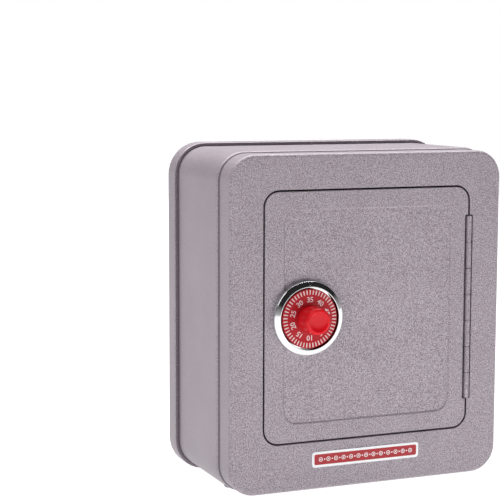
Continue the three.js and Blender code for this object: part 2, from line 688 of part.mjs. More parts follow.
piece('alarm_bracket', alarmBracket(), zinc);
ALARM_SCREWS.forEach(([x, z], n) => {
  const seat = BRACKET_T + STRAP;
  piece(`alarm_screw_${n + 1}`, panScrew(x, z, seat, ALARM_T1 - 7, SMALL_SCREW_HEAD, SMALL_SCREW_R), zinc);
});

// Two cells stacked in the bay, between a pair of contact plates.
const CELL_X = ALARM_X + ALARM_WALL + 2 * FIT + 0.5;
for (let n = 0; n < 2; n += 1) {
  const geometry = new THREE.CylinderGeometry(CELL_R, CELL_R, CELL_L, 18);
  geometry.rotateZ(Math.PI / 2);
  const z = ALARM_Z0 + ALARM_WALL + CELL_R + 0.8 + n * (2 * CELL_R + 0.5);
  geometry.translate(CELL_X + CELL_L / 2, FACE_Y + CELL_T, z);
  piece(`battery_cell_${n + 1}`, solid(geometry), cellWrap);
}
const contactZ0 = ALARM_Z0 + ALARM_WALL + FIT;
const contactZ1 = contactZ0 + 4 * CELL_R;
const contactA = ALARM_X + ALARM_WALL + 0.15;
const contactB = CELL_X + CELL_L + FIT;
piece('contact_left', box(contactA, contactA + 0.5, CELL_T - 4, CELL_T + 4, contactZ0, contactZ1), brass);
piece('contact_right', box(contactB, contactB + 0.5, CELL_T - 4, CELL_T + 4, contactZ0, contactZ1), brass);

// Circuit board with the push switch in front of it and the buzzer behind.
const boardT = ALARM_T + 14.2;
const BOARD = 1.4;
const boardX0 = BAY_X1 + BAY_WALL + FIT;
const boardX1 = ALARM_X1 - ALARM_WALL - FIT;
const boardZ0 = ALARM_Z0 + ALARM_WALL + 3.2;
const board = box(boardX0, boardX1, boardT, boardT + BOARD, boardZ0, ALARM_Z - ALARM_WALL - FIT);
piece('circuit_board', board, boardGreen);
const pushT = boardT - 2.8;
const push = box(PLUNGER_X - 4, PLUNGER_X + 4, pushT, boardT - FIT, PLUNGER_Z - 1.6, PLUNGER_Z + 4);
piece('push_switch', push, blackPlastic);
const buzzer = rod(PLUNGER_X, BUZZER_Z, BUZZER_R, boardT + BOARD + FIT, ALARM_T1 - FIT, 24);
piece('buzzer', buzzer, blackPlastic);

// Plunger that feels the door: a nose, a collar and a stem, with its return spring.
const noseT = DOOR_DEPTH + FIT;
const collarT = ALARM_T + ALARM_WALL + FIT;
const stemEnd = pushT - PLUNGER_TRAVEL - FIT;
const COLLAR_R = PLUNGER_R + 1.2;
const COLLAR = 0.8;
const STEM_R = 1.1;
const plunger = turned([
  [0, noseT], [PLUNGER_R - 0.6, noseT], [PLUNGER_R, noseT + 0.6], [PLUNGER_R, collarT],
  [COLLAR_R, collarT], [COLLAR_R, collarT + COLLAR], [STEM_R, collarT + COLLAR],
  [STEM_R, stemEnd], [0, stemEnd],
], PLUNGER_X, PLUNGER_Z, 16);
piece('alarm_plunger', plunger, blackPlastic);

const WIRE = 0.5;
const plungerSpringT = collarT + COLLAR + FIT + WIRE / 2;
const plungerSpringL = pushT - FIT - WIRE / 2 - plungerSpringT;
const backwards = new THREE.Vector3(0, 1, 0);
const plungerSpring = coil(PLUNGER_X, plungerSpringT, PLUNGER_Z, backwards, plungerSpringL, 2, WIRE, 4);
piece('plunger_spring', plungerSpring, zinc);

// On/off slide in the floor of the case.
function alarmSwitch() {
  const x1 = SWITCH_X + SWITCH_W;
  const t1 = SWITCH_T + SWITCH_D;
  const top = ALARM_Z0 + ALARM_WALL + FIT;
  return box(SWITCH_X, x1, SWITCH_T, t1, ALARM_Z0 - 1.6, top + 0.5)
    .add(box(SWITCH_X - 0.8, x1 + 0.8, SWITCH_T - 1, t1 + 1, top, top + 1));
}

piece('alarm_switch', alarmSwitch(), blackPlastic);

// Battery cover, which slides sideways off the bay.
const coverTop = ALARM_Z0 - FIT;
const coverHalf = CELL_R + 2.4;
const coverT = CELL_T - coverHalf;
const cover = box(ALARM_X + 1, BAY_X1 - 1, coverT, coverT + 2 * coverHalf, coverTop - 1.5, coverTop);
piece('battery_cover', cover, blackPlastic);

export default toySafe;
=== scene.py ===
# Toy safe coin bank: hammered grey steel casing, hinged door with a red combination dial,
# lock works behind the door and a door alarm under the top. Metres, +Z up, door towards -Y.
import json
import math

import bmesh
import bpy
from mathutils import Euler, Matrix, Vector


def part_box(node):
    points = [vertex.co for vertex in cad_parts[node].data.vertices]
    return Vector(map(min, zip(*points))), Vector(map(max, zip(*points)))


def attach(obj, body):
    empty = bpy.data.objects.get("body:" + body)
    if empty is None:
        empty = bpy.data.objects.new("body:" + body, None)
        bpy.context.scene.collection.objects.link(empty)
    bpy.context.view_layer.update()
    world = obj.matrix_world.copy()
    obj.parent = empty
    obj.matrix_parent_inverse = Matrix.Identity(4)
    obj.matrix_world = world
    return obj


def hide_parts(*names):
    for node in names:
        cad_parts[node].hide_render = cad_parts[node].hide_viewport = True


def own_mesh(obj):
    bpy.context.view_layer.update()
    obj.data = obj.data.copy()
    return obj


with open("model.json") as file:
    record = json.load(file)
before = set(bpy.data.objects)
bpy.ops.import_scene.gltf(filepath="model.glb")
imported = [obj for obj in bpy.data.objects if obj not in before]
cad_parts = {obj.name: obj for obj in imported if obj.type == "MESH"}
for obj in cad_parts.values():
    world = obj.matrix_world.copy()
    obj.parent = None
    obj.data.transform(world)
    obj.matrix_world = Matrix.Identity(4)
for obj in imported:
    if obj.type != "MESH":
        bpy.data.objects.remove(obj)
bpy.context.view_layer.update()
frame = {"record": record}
MM = 0.001

# ---------------------------------------------------------------- camera and studio

# A product photographer's view: a longish lens, a little above the object and to its left.
camera_data = bpy.data.cameras.new("camera")
camera_data.sensor_width = 36.0
camera_data.lens = 106.3
camera = bpy.data.objects.new("camera", camera_data)
bpy.context.scene.collection.objects.link(camera)
yaw, pitch, roll = (math.radians(angle) for angle in (22.372, 6.553, 0.116))
aim = Euler((math.pi / 2 - pitch, 0, -yaw)).to_matrix().to_4x4()
camera.matrix_world = (
    Matrix.Translation((-0.38877, -0.8009, 0.24073)) @ aim @ Matrix.Rotation(roll, 4, "Z")
)
bpy.context.scene.camera = camera
bpy.context.scene.view_settings.view_transform = "Standard"


# The floor is one pale sheet, large enough that its edge is never seen.
FLOOR_HALF = 9.0
floor_mesh = bpy.data.meshes.new("floor")
floor_bm = bmesh.new()
bmesh.ops.create_grid(floor_bm, x_segments=1, y_segments=1, size=FLOOR_HALF)
floor_bm.to_mesh(floor_mesh)
floor_bm.free()
floor = bpy.data.objects.new("floor", floor_mesh)
bpy.context.scene.collection.objects.link(floor)
floor_white = bpy.data.materials.new("floor_white")
floor_white.use_nodes = True
floor_shader = floor_white.node_tree.nodes["Principled BSDF"]
floor_shader.inputs["Base Color"].default_value = (0.2, 0.2, 0.2, 1)
floor_shader.inputs["Roughness"].default_value = 0.9
floor_shader.inputs["Specular IOR Level"].default_value = 0.1
floor_shader.inputs["Emission Color"].default_value = (1, 1, 1, 1)
floor_shader.inputs["Emission Strength"].default_value = 1.0
floor_mesh.materials.append(floor_white)


# Soft boxes: a wide one overhead and behind, and fills from both sides of the camera that
# light the object without showing in the chrome.
def soft_box(name, place, target, width, height, watts, mirrored):
    lamp_data = bpy.data.lights.new(name, "AREA")
    lamp_data.shape = "RECTANGLE"
    lamp_data.size = width
    lamp_data.size_y = height
    lamp_data.energy = watts
    lamp = bpy.data.objects.new(name, lamp_data)
    lamp.location = place
    lamp.rotation_euler = (Vector(target) - Vector(place)).to_track_quat("-Z", "Y").to_euler()
    lamp.visible_glossy = mirrored
    lamp.visible_camera = False
    bpy.context.scene.collection.objects.link(lamp)


middle = (0, 0, 0.1)
soft_box("overhead", (0.05, 0.4, 1.4), middle, 2.0, 1.0, 48, True)
soft_box("front_top", (0.0, -0.8, 1.3), middle, 1.0, 0.3, 0.8, False)
soft_box("left_fill", (-1.6, -0.5, 0.7), middle, 1.2, 1.2, 0.3, False)
soft_box("right_fill", (0.9, -1.7, 0.12), middle, 1.4, 0.5, 0.8, False)
soft_box("low_card", (0.05, -0.34, 0.03), (0, 0, 0.06), 0.5, 0.06, 0.42, False)
soft_box("back_fill", (0.6, 1.9, 0.7), middle, 1.4, 1.2, 10, False)
soft_box("corner_strip", (-1.0, -0.6, 1.0), middle, 0.5, 0.9, 4, True)

# The room is white to the camera and at the horizon, and dark above, as a ceiling is.
studio = bpy.data.worlds.new("studio")
studio.use_nodes = True
room = studio.node_tree
rays = room.nodes.new("ShaderNodeLightPath")
where = room.nodes.new("ShaderNodeTexCoord")
height = room.nodes.new("ShaderNodeSeparateXYZ")
room.links.new(where.outputs["Generated"], height.inputs[0])
ceiling = room.nodes.new("ShaderNodeMapRange")
ceiling.inputs["From Min"].default_value = -0.02
ceiling.inputs["From Max"].default_value = 0.3
ceiling.inputs["To Min"].default_value = 0.48
ceiling.inputs["To Max"].default_value = 0.02
room.links.new(height.outputs["Z"], ceiling.inputs["Value"])
seen = room.nodes.new("ShaderNodeMath")
seen.operation = "MAXIMUM"
room.links.new(ceiling.outputs["Result"], seen.inputs[0])
room.links.new(rays.outputs["Is Camera Ray"], seen.inputs[1])
room.links.new(seen.outputs[0], room.nodes["Background"].inputs["Strength"])
room.nodes["Background"].inputs["Color"].default_value = (1, 1, 1, 1)
bpy.context.scene.world = studio


# ---------------------------------------------------------------- front frame

# The front of the casing is drawn from one sheet of 1 mm steel: a rounded edge all round, a
# skirt that slides into the body, and the door opening folded inwards. It is sprayed with a
# hammer-finish paint in mauve grey.
class Wire:
    """One output of a node. Arithmetic on wires adds the Math nodes that it needs."""

    def __init__(self, paint, socket):
        self.paint = paint
        self.socket = socket

    def maths(self, operation, first, second):
        return self.paint.node("ShaderNodeMath", {"operation": operation}, {0: first, 1: second})

    def __add__(self, other):
        return self.maths("ADD", self, other)

    def __radd__(self, other):
        return self.maths("ADD", other, self)

    def __sub__(self, other):
        return self.maths("SUBTRACT", self, other)

    def __rsub__(self, other):
        return self.maths("SUBTRACT", other, self)

    def __mul__(self, other):
        return self.maths("MULTIPLY", self, other)

    def __rmul__(self, other):
        return self.maths("MULTIPLY", other, self)

    def __gt__(self, other):
        return self.maths("GREATER_THAN", self, other)

    def __lt__(self, other):
        return self.maths("LESS_THAN", self, other)

    def __abs__(self):
        return self.maths("ABSOLUTE", self, 0.0)


class Paint:
    """A material built node by node on one Principled shader."""

    def __init__(self, name, **constants):
        self.material = bpy.data.materials.new(name)
        self.material.use_nodes = True
        self.tree = self.material.node_tree
        self.shader = self.tree.nodes["Principled BSDF"]
        for socket, value in constants.items():
            self.shader.inputs[socket.replace("_", " ")].default_value = value
        self.place = self.node("ShaderNodeTexCoord", output="Object")

    def node(self, kind, settings=None, inputs=None, output=0):
        node = self.tree.nodes.new(kind)
        for key, value in (settings or {}).items():
            setattr(node, key, value)
        for key, value in (inputs or {}).items():
            self.plug(node.inputs[key], value)
        return Wire(self, node.outputs[output])

    def plug(self, socket, value):
        if isinstance(value, Wire):
            self.tree.links.new(value.socket, socket)
        else:
            socket.default_value = value

    def noise(self, scale, detail=2.0, roughness=0.5, place=None):
        return self.node(
            "ShaderNodeTexNoise",
            {"normalize": True},
            {"Vector": place or self.place, "Scale": scale, "Detail": detail, "Roughness": roughness},
        )

    def stretched(self, x, y, z):
        return self.node(
            "ShaderNodeMapping", {"vector_type": "POINT"}, {"Vector": self.place, "Scale": (x, y, z)}
        )

    def blend(self, factor, first, second):
        return self.node(
            "ShaderNodeMix", {"data_type": "RGBA", "clamp_factor": True},
            {0: factor, 6: (*first, 1) if isinstance(first, tuple) else first,
             7: (*second, 1) if isinstance(second, tuple) else second}, output=2)

    def bump(self, height, depth, strength=1.0):
        return self.node(
            "ShaderNodeBump", None, {"Height": height, "Distance": depth, "Strength": strength}
        )

    def set(self, **values):
        for socket, value in values.items():
            self.plug(self.shader.inputs[socket.replace("_", " ")], value)
        return self.material


def hammer_paint_and_shade():
    # Fine pits and bright flecks, strongest where the sheet was sprayed face on. Painted shade
    # makes the sides and top darker than front and back, and darkens recesses and seam bands.
    paint = Paint("hammer_paint_and_shade", Metallic=0.12, Specular_IOR_Level=0.4)
    normal = paint.node("ShaderNodeTexCoord", output="Normal")
    outward = paint.node("ShaderNodeSeparateXYZ", None, {0: normal}, output=1)
    depth = paint.node("ShaderNodeSeparateXYZ", None, {0: paint.place}, output=1)
    face_on = 0.25 + abs(outward) * 0.75
    # Painted shade: front-facing faces set back between the front seam and a little past the rear seam are
    # darkened.
    recess = (depth > FACE + RECESS_DEPTH) * (outward < -0.55) * (depth < FACE + RECESS_END)
    grain = paint.noise(1500.0, 2.0, 0.6)
    flecks = paint.noise(2600.0, 1.0)
    clouds = paint.noise(30.0, 2.0)
    pits = paint.node(
        "ShaderNodeTexVoronoi", {"feature": "F1"}, {"Vector": paint.place, "Scale": 620.0})
    pinholes = (pits < 0.16) * -0.9
    tone = (grain - 0.5) * 3.4 + (flecks - 0.5) * 1.6 + pinholes
    # Painted shade: a dark band running up to each seam for the shadow in the gap, kept weak on faces that
    # point up or down.
    seam_shade = 0.0
    for seam, reach in ((FACE + FRONT_SEAM, 2.4 * MM), (FACE + REAR_SEAM, 3.4 * MM)):
        ramp = (depth - (seam - reach)) * (1 / reach)
        seam_shade = ramp * (depth > seam - reach) * (depth < seam + 0.1 * MM) + seam_shade
    upward = paint.node("ShaderNodeSeparateXYZ", None, {0: normal}, output=2)
    seam_shade = seam_shade * (1 - abs(upward) * 0.8)
    # Painted shade in this tone: sides and top get less than front and back, and the recesses and seam
    # bands are taken down.
    shade = 0.34 + face_on * 0.16 + tone * face_on + (clouds - 0.5) * 0.2 - recess * 0.3 - seam_shade * 0.32
    colour = paint.blend(shade, (0.180, 0.152, 0.175), (0.50, 0.44, 0.485))
    relief = (grain + pits * 0.5) * face_on
    return paint.set(
        Base_Color=colour,
        Roughness=0.46 + (grain - 0.5) * 0.3,
        Normal=paint.bump(relief, 0.00016, 0.8),
    )


# The folded edges inside the door gap are painted near black: painted shade for the deep gap.
def painted_gap_shade():
    paint = Paint("gap_shade_dark", Specular_IOR_Level=0.3)
    grain = paint.noise(1350.0, 2.0, 0.6)
    colour = paint.blend((grain - 0.5) * 3.0 + 0.5, (0.035, 0.03, 0.034), (0.10, 0.088, 0.097))
    return paint.set(Base_Color=colour, Roughness=0.7, Normal=paint.bump(grain, 0.0001, 0.5))


frame_low, frame_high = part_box("front_frame")
FACE = frame_low.y
FRONT_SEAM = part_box("body_shell")[0].y - FACE
REAR_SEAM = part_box("back_cover")[0].y - FACE
RECESS_DEPTH = FRONT_SEAM - 1 * MM
RECESS_END = REAR_SEAM + 8 * MM
hammered = hammer_paint_and_shade()
shaded_gap_material = painted_gap_shade()
ARC_STEPS = 10


def rounded_loop(bm, spots):
    """A closed outline through corners given as (point, radius). Returns its edges."""
    known = set(bm.edges)
    corners = [bm.verts.new(point) for point, _ in spots]
    bm.faces.new(corners)
    for corner, (_, radius) in zip(corners, spots):
        bmesh.ops.bevel(
            bm, geom=[corner], affect="VERTICES", offset=radius, segments=ARC_STEPS,
            profile=0.5, material=-1,
        )
    edges = [edge for edge in bm.edges if edge not in known]
    faces = list({face for edge in edges for face in edge.link_faces})
    bmesh.ops.delete(bm, geom=faces, context="FACES_ONLY")
    return edges


def bridge(bm, first, second):
    bmesh.ops.bridge_loops(bm, edges=first + second)


def fill(bm, *loops):
    """Fills a flat region between an outer outline and the outlines inside it."""
    edges = [edge for loop in loops for edge in loop]
    bmesh.ops.triangle_fill(bm, use_beauty=True, use_dissolve=False, edges=edges)


def quarter(centre, radii, start, steps=5):
    """Points (margin, depth) on a quarter of an ellipse, from an angle of start degrees."""
    points = []
    for n in range(steps + 1):
        angle = math.radians(start + 90 * n / steps)
        points.append((centre[0] + radii[0] * math.cos(angle), centre[1] + radii[1] * math.sin(angle)))
    return points


def finish_piece(name, bm, material, body, slot, *nodes, sharp=38):
    """Makes the piece, cleans its shading and lets it ride on its body."""
    bmesh.ops.remove_doubles(bm, verts=bm.verts, dist=1e-7)
    bmesh.ops.recalc_face_normals(bm, faces=bm.faces)
    mesh = bpy.data.meshes.new(name)
    bm.to_mesh(mesh)
    bm.free()
    mesh.shade_smooth()
    mesh.set_sharp_from_angle(angle=math.radians(sharp))
    piece = bpy.data.objects.new(name, mesh)
    bpy.context.scene.collection.objects.link(piece)
    mesh.materials.append(material)
    even = piece.modifiers.new("even_shading", "WEIGHTED_NORMAL")
    even.keep_sharp = True
    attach(piece, body)
    if nodes:
        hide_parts(*nodes)
    return piece


door_low, door_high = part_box("door_skin")
hinge_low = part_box("hinge_frame_leaf")[0]
body_low, body_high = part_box("body_shell")
SHEET = 1.0 * MM
CASING_R = 16 * MM
casing_mid = (frame_low + frame_high) / 2
casing_half = (frame_high - frame_low) / 2
door_mid = Vector((0, 0, (door_low.z + door_high.z) / 2))
door_half = Vector((-door_low.x, 0, (door_high.z - door_low.z) / 2))


def casing_loop(bm, margin, depth):
    """The casing's rounded outline, grown by a margin, at a depth behind the face."""
    x = casing_half.x + margin
    z = casing_half.z + margin
    ends = ((-x, -z), (x, -z), (x, z), (-x, z))
    return rounded_loop(
        bm, [((a, FACE + depth, casing_mid.z + b), CASING_R + margin) for a, b in ends]
    )


DOOR_GAP = 0.9 * MM
DOOR_R = 8.7 * MM
SLOT_HALF = 2.45 * MM  # the barrel stands in a slot cut half from the frame, half from the door
PLAIN_BARREL_R = 1.75 * MM  # of the plain hinge in the CAD, which places the pin
BARREL_R = 1.6 * MM
hinge_x = hinge_low.x + PLAIN_BARREL_R
SLOT_R = 0.45 * MM
slot_half = (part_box("hinge_pin")[1].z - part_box("hinge_pin")[0].z) / 2 + 0.3 * MM


def opening_loop(bm, margin, depth):
    """The door opening, with its hinge slot, grown by a margin."""
    x = door_half.x + DOOR_GAP + margin
    z = door_half.z + DOOR_GAP + margin
    far = hinge_x + SLOT_HALF + margin
    reach = slot_half + margin
    outer = DOOR_R + DOOR_GAP + margin
    tight = max(SLOT_R - margin, 0.1 * MM)
    wide = SLOT_R + max(margin, 0)
    spots = [
        (-x, -z, outer), (x, -z, outer), (x, -reach, tight), (far, -reach, wide),
        (far, reach, wide), (x, reach, tight), (x, z, outer), (-x, z, outer),
    ]
    return rounded_loop(bm, [((a, FACE + depth, door_mid.z + b), r) for a, b, r in spots])


FRAME_EDGE = 2.0 * MM
OPENING_EDGE = 0.35 * MM
OPENING_FLANGE = 9.0 * MM

front = bmesh.new()
skirt_end = frame_high.y - FACE
opening_side = [(0, OPENING_FLANGE)]
opening_side += quarter((OPENING_EDGE, OPENING_EDGE), (OPENING_EDGE, OPENING_EDGE), 180, 3)
opening_loops = [opening_loop(front, m, t) for m, t in opening_side]
outer_side = quarter((-FRAME_EDGE, FRAME_EDGE), (FRAME_EDGE, FRAME_EDGE), -90, 8)
outer_side += [(0, skirt_end), (-SHEET, skirt_end)]
inner_edge = FRAME_EDGE - SHEET
outer_side += list(reversed(quarter((-FRAME_EDGE, FRAME_EDGE), (inner_edge, inner_edge), -90, 4)))
outer_loops = [casing_loop(front, m, t) for m, t in outer_side]
back_side = [(SHEET, SHEET), (SHEET, OPENING_FLANGE)]
back_loops = [opening_loop(front, m, t) for m, t in back_side]
for loops in (opening_loops, outer_loops, back_loops):
    for first, second in zip(loops, loops[1:]):
        bridge(front, first, second)
fill(front, opening_loops[-1], outer_loops[0])
fill(front, outer_loops[-1], back_loops[0])
fill(front, back_loops[-1], opening_loops[0])
pressing = finish_piece("frame_pressing", front, hammered, "casing", "hammered_paint", "front_frame")


def shade_gap_edges(piece, half_x, half_z, depth):
    """Paints dark shade on the folded edges in the door gap, but not on the lower ones."""
    piece.data.materials.append(shaded_gap_material)
    for face in piece.data.polygons:
        inside = abs(face.center.x) < half_x and abs(face.center.z - door_mid.z) < half_z
        lower = abs(face.normal.z) > 0.7 and face.center.z < door_mid.z
        if inside and not lower and face.center.y > FACE + depth:
            face.material_index = 1


shade_gap_edges(pressing, hinge_x + SLOT_HALF + 0.2 * MM, door_half.z + DOOR_GAP + 0.2 * MM, OPENING_EDGE)


# ---------------------------------------------------------------- body shell

# The body is a seamless band. Its front edge is drawn in over the frame's skirt, and its rear
# edge is turned in as a flange that the back cover is screwed to.
BODY_STEP = body_high.x - casing_half.x
BODY_LIP = 3.0 * MM  # depth of the drawn-in front edge
REAR_OPENING_R = 6 * MM
REAR_FLANGE = 18 * MM


def rear_opening_loop(bm, depth):
    x = body_high.x - REAR_FLANGE
    z = (body_high.z - body_low.z) / 2 - REAR_FLANGE
    ends = ((-x, -z), (x, -z), (x, z), (-x, z))
    return rounded_loop(
        bm, [((a, FACE + depth, casing_mid.z + b), REAR_OPENING_R) for a, b in ends]
    )


band = bmesh.new()
band_front = body_low.y - FACE
band_rear = body_high.y - FACE
body_inner = BODY_STEP - SHEET
REAR_TURN = 1.4 * MM
band_side = quarter((body_inner, band_front + BODY_LIP), (SHEET, BODY_LIP), -90, 6)
band_side += quarter((BODY_STEP - REAR_TURN, band_rear - REAR_TURN), (REAR_TURN, REAR_TURN), 0, 4)
band_loops = [casing_loop(band, m, t) for m, t in band_side]
inner_loops = [casing_loop(band, body_inner, band_rear - SHEET)]
inner_loops += [casing_loop(band, body_inner, band_front + BODY_LIP)]
flange_loops = [rear_opening_loop(band, band_rear), rear_opening_loop(band, band_rear - SHEET)]
for loops in (band_loops, inner_loops, flange_loops):
    for first, second in zip(loops, loops[1:]):
        bridge(band, first, second)
bridge(band, inner_loops[-1], band_loops[0])
fill(band, band_loops[-1], flange_loops[0])
fill(band, flange_loops[1], inner_loops[0])
finish_piece("body_band", band, hammered, "casing", "hammered_paint", "body_shell")


# ---------------------------------------------------------------- back cover

# The back cover is a deep pan that fits over the body. Its front edge is rolled in to the
# body, its rear edge is well rounded, and its panel is pressed in around the coin slot.
cover_low, cover_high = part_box("back_cover")
slot_low, slot_high = [Vector(corner) for corner in next(
    opening["box_m"] for opening in frame["record"]["physics"]["openings"]
    if opening["name"] == "coin_slot")]
COVER_LIP = 2.2 * MM
LIP_ROUND = 0.7 * MM
COVER_EDGE = 3.5 * MM
PANEL_INSET = 14 * MM
PANEL_SINK = 2 * MM
PANEL_R = 9 * MM
PANEL_SLOPE = 1.2 * MM
COIN_SLOT_W = 34 * MM
COIN_SLOT_H = 5 * MM
COIN_SLOT_R = 2 * MM
LIP_AIR = 0.3 * MM

cover = bmesh.new()
cover_step = cover_high.x - casing_half.x
cover_front = cover_low.y - FACE
cover_rear = cover_high.y - FACE
panel_depth = cover_rear - PANEL_SINK
cover_inner = BODY_STEP + LIP_AIR
inside_depth = band_rear + LIP_AIR


def panel_loop(bm, margin, depth):
    x = cover_high.x - PANEL_INSET + margin
    z = (cover_high.z - cover_low.z) / 2 - PANEL_INSET + margin
    ends = ((-x, -z), (x, -z), (x, z), (-x, z))
    return rounded_loop(
        bm, [((a, FACE + depth, casing_mid.z + b), PANEL_R + margin) for a, b in ends]
    )


def coin_slot_loop(bm, margin, depth):
    x = COIN_SLOT_W / 2 + margin
    z = COIN_SLOT_H / 2 + margin
    level = (slot_low.z + slot_high.z) / 2
    ends = ((-x, -z), (x, -z), (x, z), (-x, z))
    return rounded_loop(bm, [((a, FACE + depth, level + b), COIN_SLOT_R + margin) for a, b in ends])


cover_side = [(cover_inner, cover_front)]
cover_side += quarter((cover_step - LIP_ROUND, cover_front + COVER_LIP), (LIP_ROUND, COVER_LIP), -90, 8)
cover_side += quarter((cover_step - COVER_EDGE, cover_rear - COVER_EDGE), (COVER_EDGE, COVER_EDGE), 0, 8)
cover_loops = [casing_loop(cover, m, t) for m, t in cover_side]
PANEL_FOOT = 0.8 * MM  # how far the foot of the pressed step stands outside the panel
rim_loops = [panel_loop(cover, m + PANEL_FOOT, t) for m, t in
             [(PANEL_SLOPE, cover_rear), (PANEL_SLOPE - 0.3 * MM, cover_rear - 0.15 * MM),
              (0.3 * MM, panel_depth + 0.15 * MM), (0, panel_depth)]]
slot_edge = 0.3 * MM
slot_loops = [coin_slot_loop(cover, m, t) for m, t in
              [(slot_edge, panel_depth), (0.1 * MM, panel_depth - 0.1 * MM),
               (0, panel_depth - slot_edge), (0, inside_depth)]]
inner_loops = [casing_loop(cover, cover_inner, inside_depth)]
inner_loops += [casing_loop(cover, cover_inner, cover_front + COVER_LIP)]
for loops in (cover_loops, rim_loops, slot_loops, inner_loops):
    for first, second in zip(loops, loops[1:]):
        bridge(cover, first, second)
bridge(cover, inner_loops[-1], cover_loops[0])
fill(cover, cover_loops[-1], rim_loops[0])
fill(cover, rim_loops[-1], slot_loops[0])
fill(cover, slot_loops[-1], inner_loops[0])
finish_piece("back_pressing", cover, hammered, "casing", "hammered_paint", "back_cover")

# Pan-head screws with a cross recess hold the back cover to the body's flange.
def plated_steel(name, tint=(0.62, 0.61, 0.585)):
    # Zinc plate: faint brushing, cloudy passivation and small scuffs.
    paint = Paint(name, Metallic=1.0)
    brushed = paint.noise(1.0, 3.0, 0.6, paint.stretched(60.0, 900.0, 2600.0))
    clouds = paint.noise(90.0, 3.0)
    dark = tuple(0.74 * level for level in tint)
    colour = paint.blend(0.45 + (clouds - 0.5) * 1.6 + (brushed - 0.5) * 0.5, dark, tint)
    return paint.set(
        Base_Color=colour,
        Roughness=0.30 + brushed * 0.16 + (clouds - 0.5) * 0.2,
        Normal=paint.bump(brushed, 0.00003, 0.35),
    )


steel = plated_steel("zinc_plate")


def turned_piece(name, centre, corners, material, body, slot, *nodes, steps=64, sharp=38):
    """Turns a closed profile of (radius, depth, corner radius) about a front-to-back axis."""
    bm = bmesh.new()
    spots = [((centre[0] + r, centre[1] + t, centre[2]), soft) for r, t, soft in corners]
    known = [bm.verts.new(point) for point, _ in spots]
    bm.faces.new(known)
    for corner, (_, radius) in zip(known, spots):
        if radius:
            bmesh.ops.bevel(
                bm, geom=[corner], affect="VERTICES", offset=radius, segments=4,
                profile=0.5, material=-1,
            )
    bmesh.ops.delete(bm, geom=list(bm.faces), context="FACES_ONLY")
    on_axis = [edge for edge in bm.edges if all(abs(v.co.x - centre[0]) < 1e-7 for v in edge.verts)]
    bmesh.ops.delete(bm, geom=on_axis, context="EDGES")
    bmesh.ops.spin(
        bm, geom=list(bm.verts) + list(bm.edges), cent=centre, axis=(0, 1, 0), dvec=(0, 0, 0),
        angle=2 * math.pi, steps=steps, use_merge=True, use_duplicate=False,
    )
    bmesh.ops.remove_doubles(bm, verts=bm.verts, dist=1e-6)
    return finish_piece(name, bm, material, body, slot, *nodes, sharp=sharp)


SCREW_TURN = 20  # degrees that the recess is turned by


def screw(name, node, body, head_r, shank_r):
    """A pan-head screw in a CAD screw's place, with a cross cut into its head."""
    low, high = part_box(node)
    middle = (low + high) / 2
    length = high.y - low.y
    head = 0.45 * head_r
    centre = (middle.x, low.y, middle.z)
    corners = [(0, 0, 0), (0.6 * shank_r, 0, 0), (shank_r, 0.6 * MM, 0), (shank_r, length - head, 0),
               (head_r, length - head, 0.1 * MM), (head_r * 0.97, length - 0.35 * head, 0.4 * head),
               (0.45 * head_r, length, 0.6 * head), (0, length, 0)]
    made = turned_piece(name, centre, corners, steel, body, "plated_steel", node, steps=32)
    cutter = bmesh.new()
    for turn in (0, 90):
        spun = Matrix.Rotation(math.radians(turn + SCREW_TURN), 4, "Y")
        arm = Matrix.Translation((middle.x, high.y, middle.z)) @ spun
        size = Matrix.Diagonal((1.15 * head_r, 1.1 * head, 0.26 * head_r, 1))
        bmesh.ops.create_cube(cutter, size=1.0, matrix=arm @ size)
    cutter_mesh = bpy.data.meshes.new(name + "_recess")
    cutter.to_mesh(cutter_mesh)
    cutter.free()
    cutter_object = bpy.data.objects.new(name + "_recess", cutter_mesh)
    bpy.context.scene.collection.objects.link(cutter_object)
    cut = made.modifiers.new("recess", "BOOLEAN")
    cut.operation = "DIFFERENCE"
    cut.solver = "EXACT"
    cut.use_self = True
    cut.object = cutter_object
    made.modifiers.move(1, 0)
    evaluated = made.evaluated_get(bpy.context.evaluated_depsgraph_get())
    made.modifiers.remove(cut)
    made.data = bpy.data.meshes.new_from_object(evaluated)
    made.data.name = name
    made.modifiers.clear()
    bpy.data.objects.remove(cutter_object)
    return made


for number in range(1, 5):
    screw(f"back_cover_screw_{number}", f"back_screw_{number}", "casing", 3.0 * MM, 1.3 * MM)


# ---------------------------------------------------------------- feet and label

# Two moulded rubber buttons under the front of the body.
def foot_rubber():
    paint = Paint("foot_rubber", Specular_IOR_Level=0.3)
    grain = paint.noise(1400.0, 3.0)
    clouds = paint.noise(120.0, 2.0)
    tone = 0.5 + (clouds - 0.5) + (grain - 0.5) * 0.5
    colour = paint.blend(tone, (0.20, 0.17, 0.19), (0.30, 0.26, 0.285))
    return paint.set(Base_Color=colour, Roughness=0.75, Normal=paint.bump(grain, 0.00004, 0.5))


rubber = foot_rubber()
for side in ("left", "right"):
    low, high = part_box(f"front_foot_{side}")
    foot_mid = (low + high) / 2
    foot_r = (high.x - low.x) / 2
    foot = bmesh.new()
    bmesh.ops.create_circle(foot, cap_ends=True, segments=48, radius=foot_r)
    bmesh.ops.translate(foot, verts=foot.verts, vec=(foot_mid.x, foot_mid.y, high.z))
    grown = bmesh.ops.extrude_face_region(foot, geom=foot.faces[:])
    under = [item for item in grown["geom"] if isinstance(item, bmesh.types.BMVert)]
    bmesh.ops.translate(foot, verts=under, vec=(0, 0, low.z - high.z))
    rim_edges = [e for e in foot.edges if all(v in under for v in e.verts)]
    bmesh.ops.bevel(
        foot, geom=rim_edges, affect="EDGES", offset=0.9 * MM, segments=5, profile=0.5, material=-1)
    finish_piece(f"foot_{side}", foot, rubber, "casing", "foot_grey", f"front_foot_{side}")


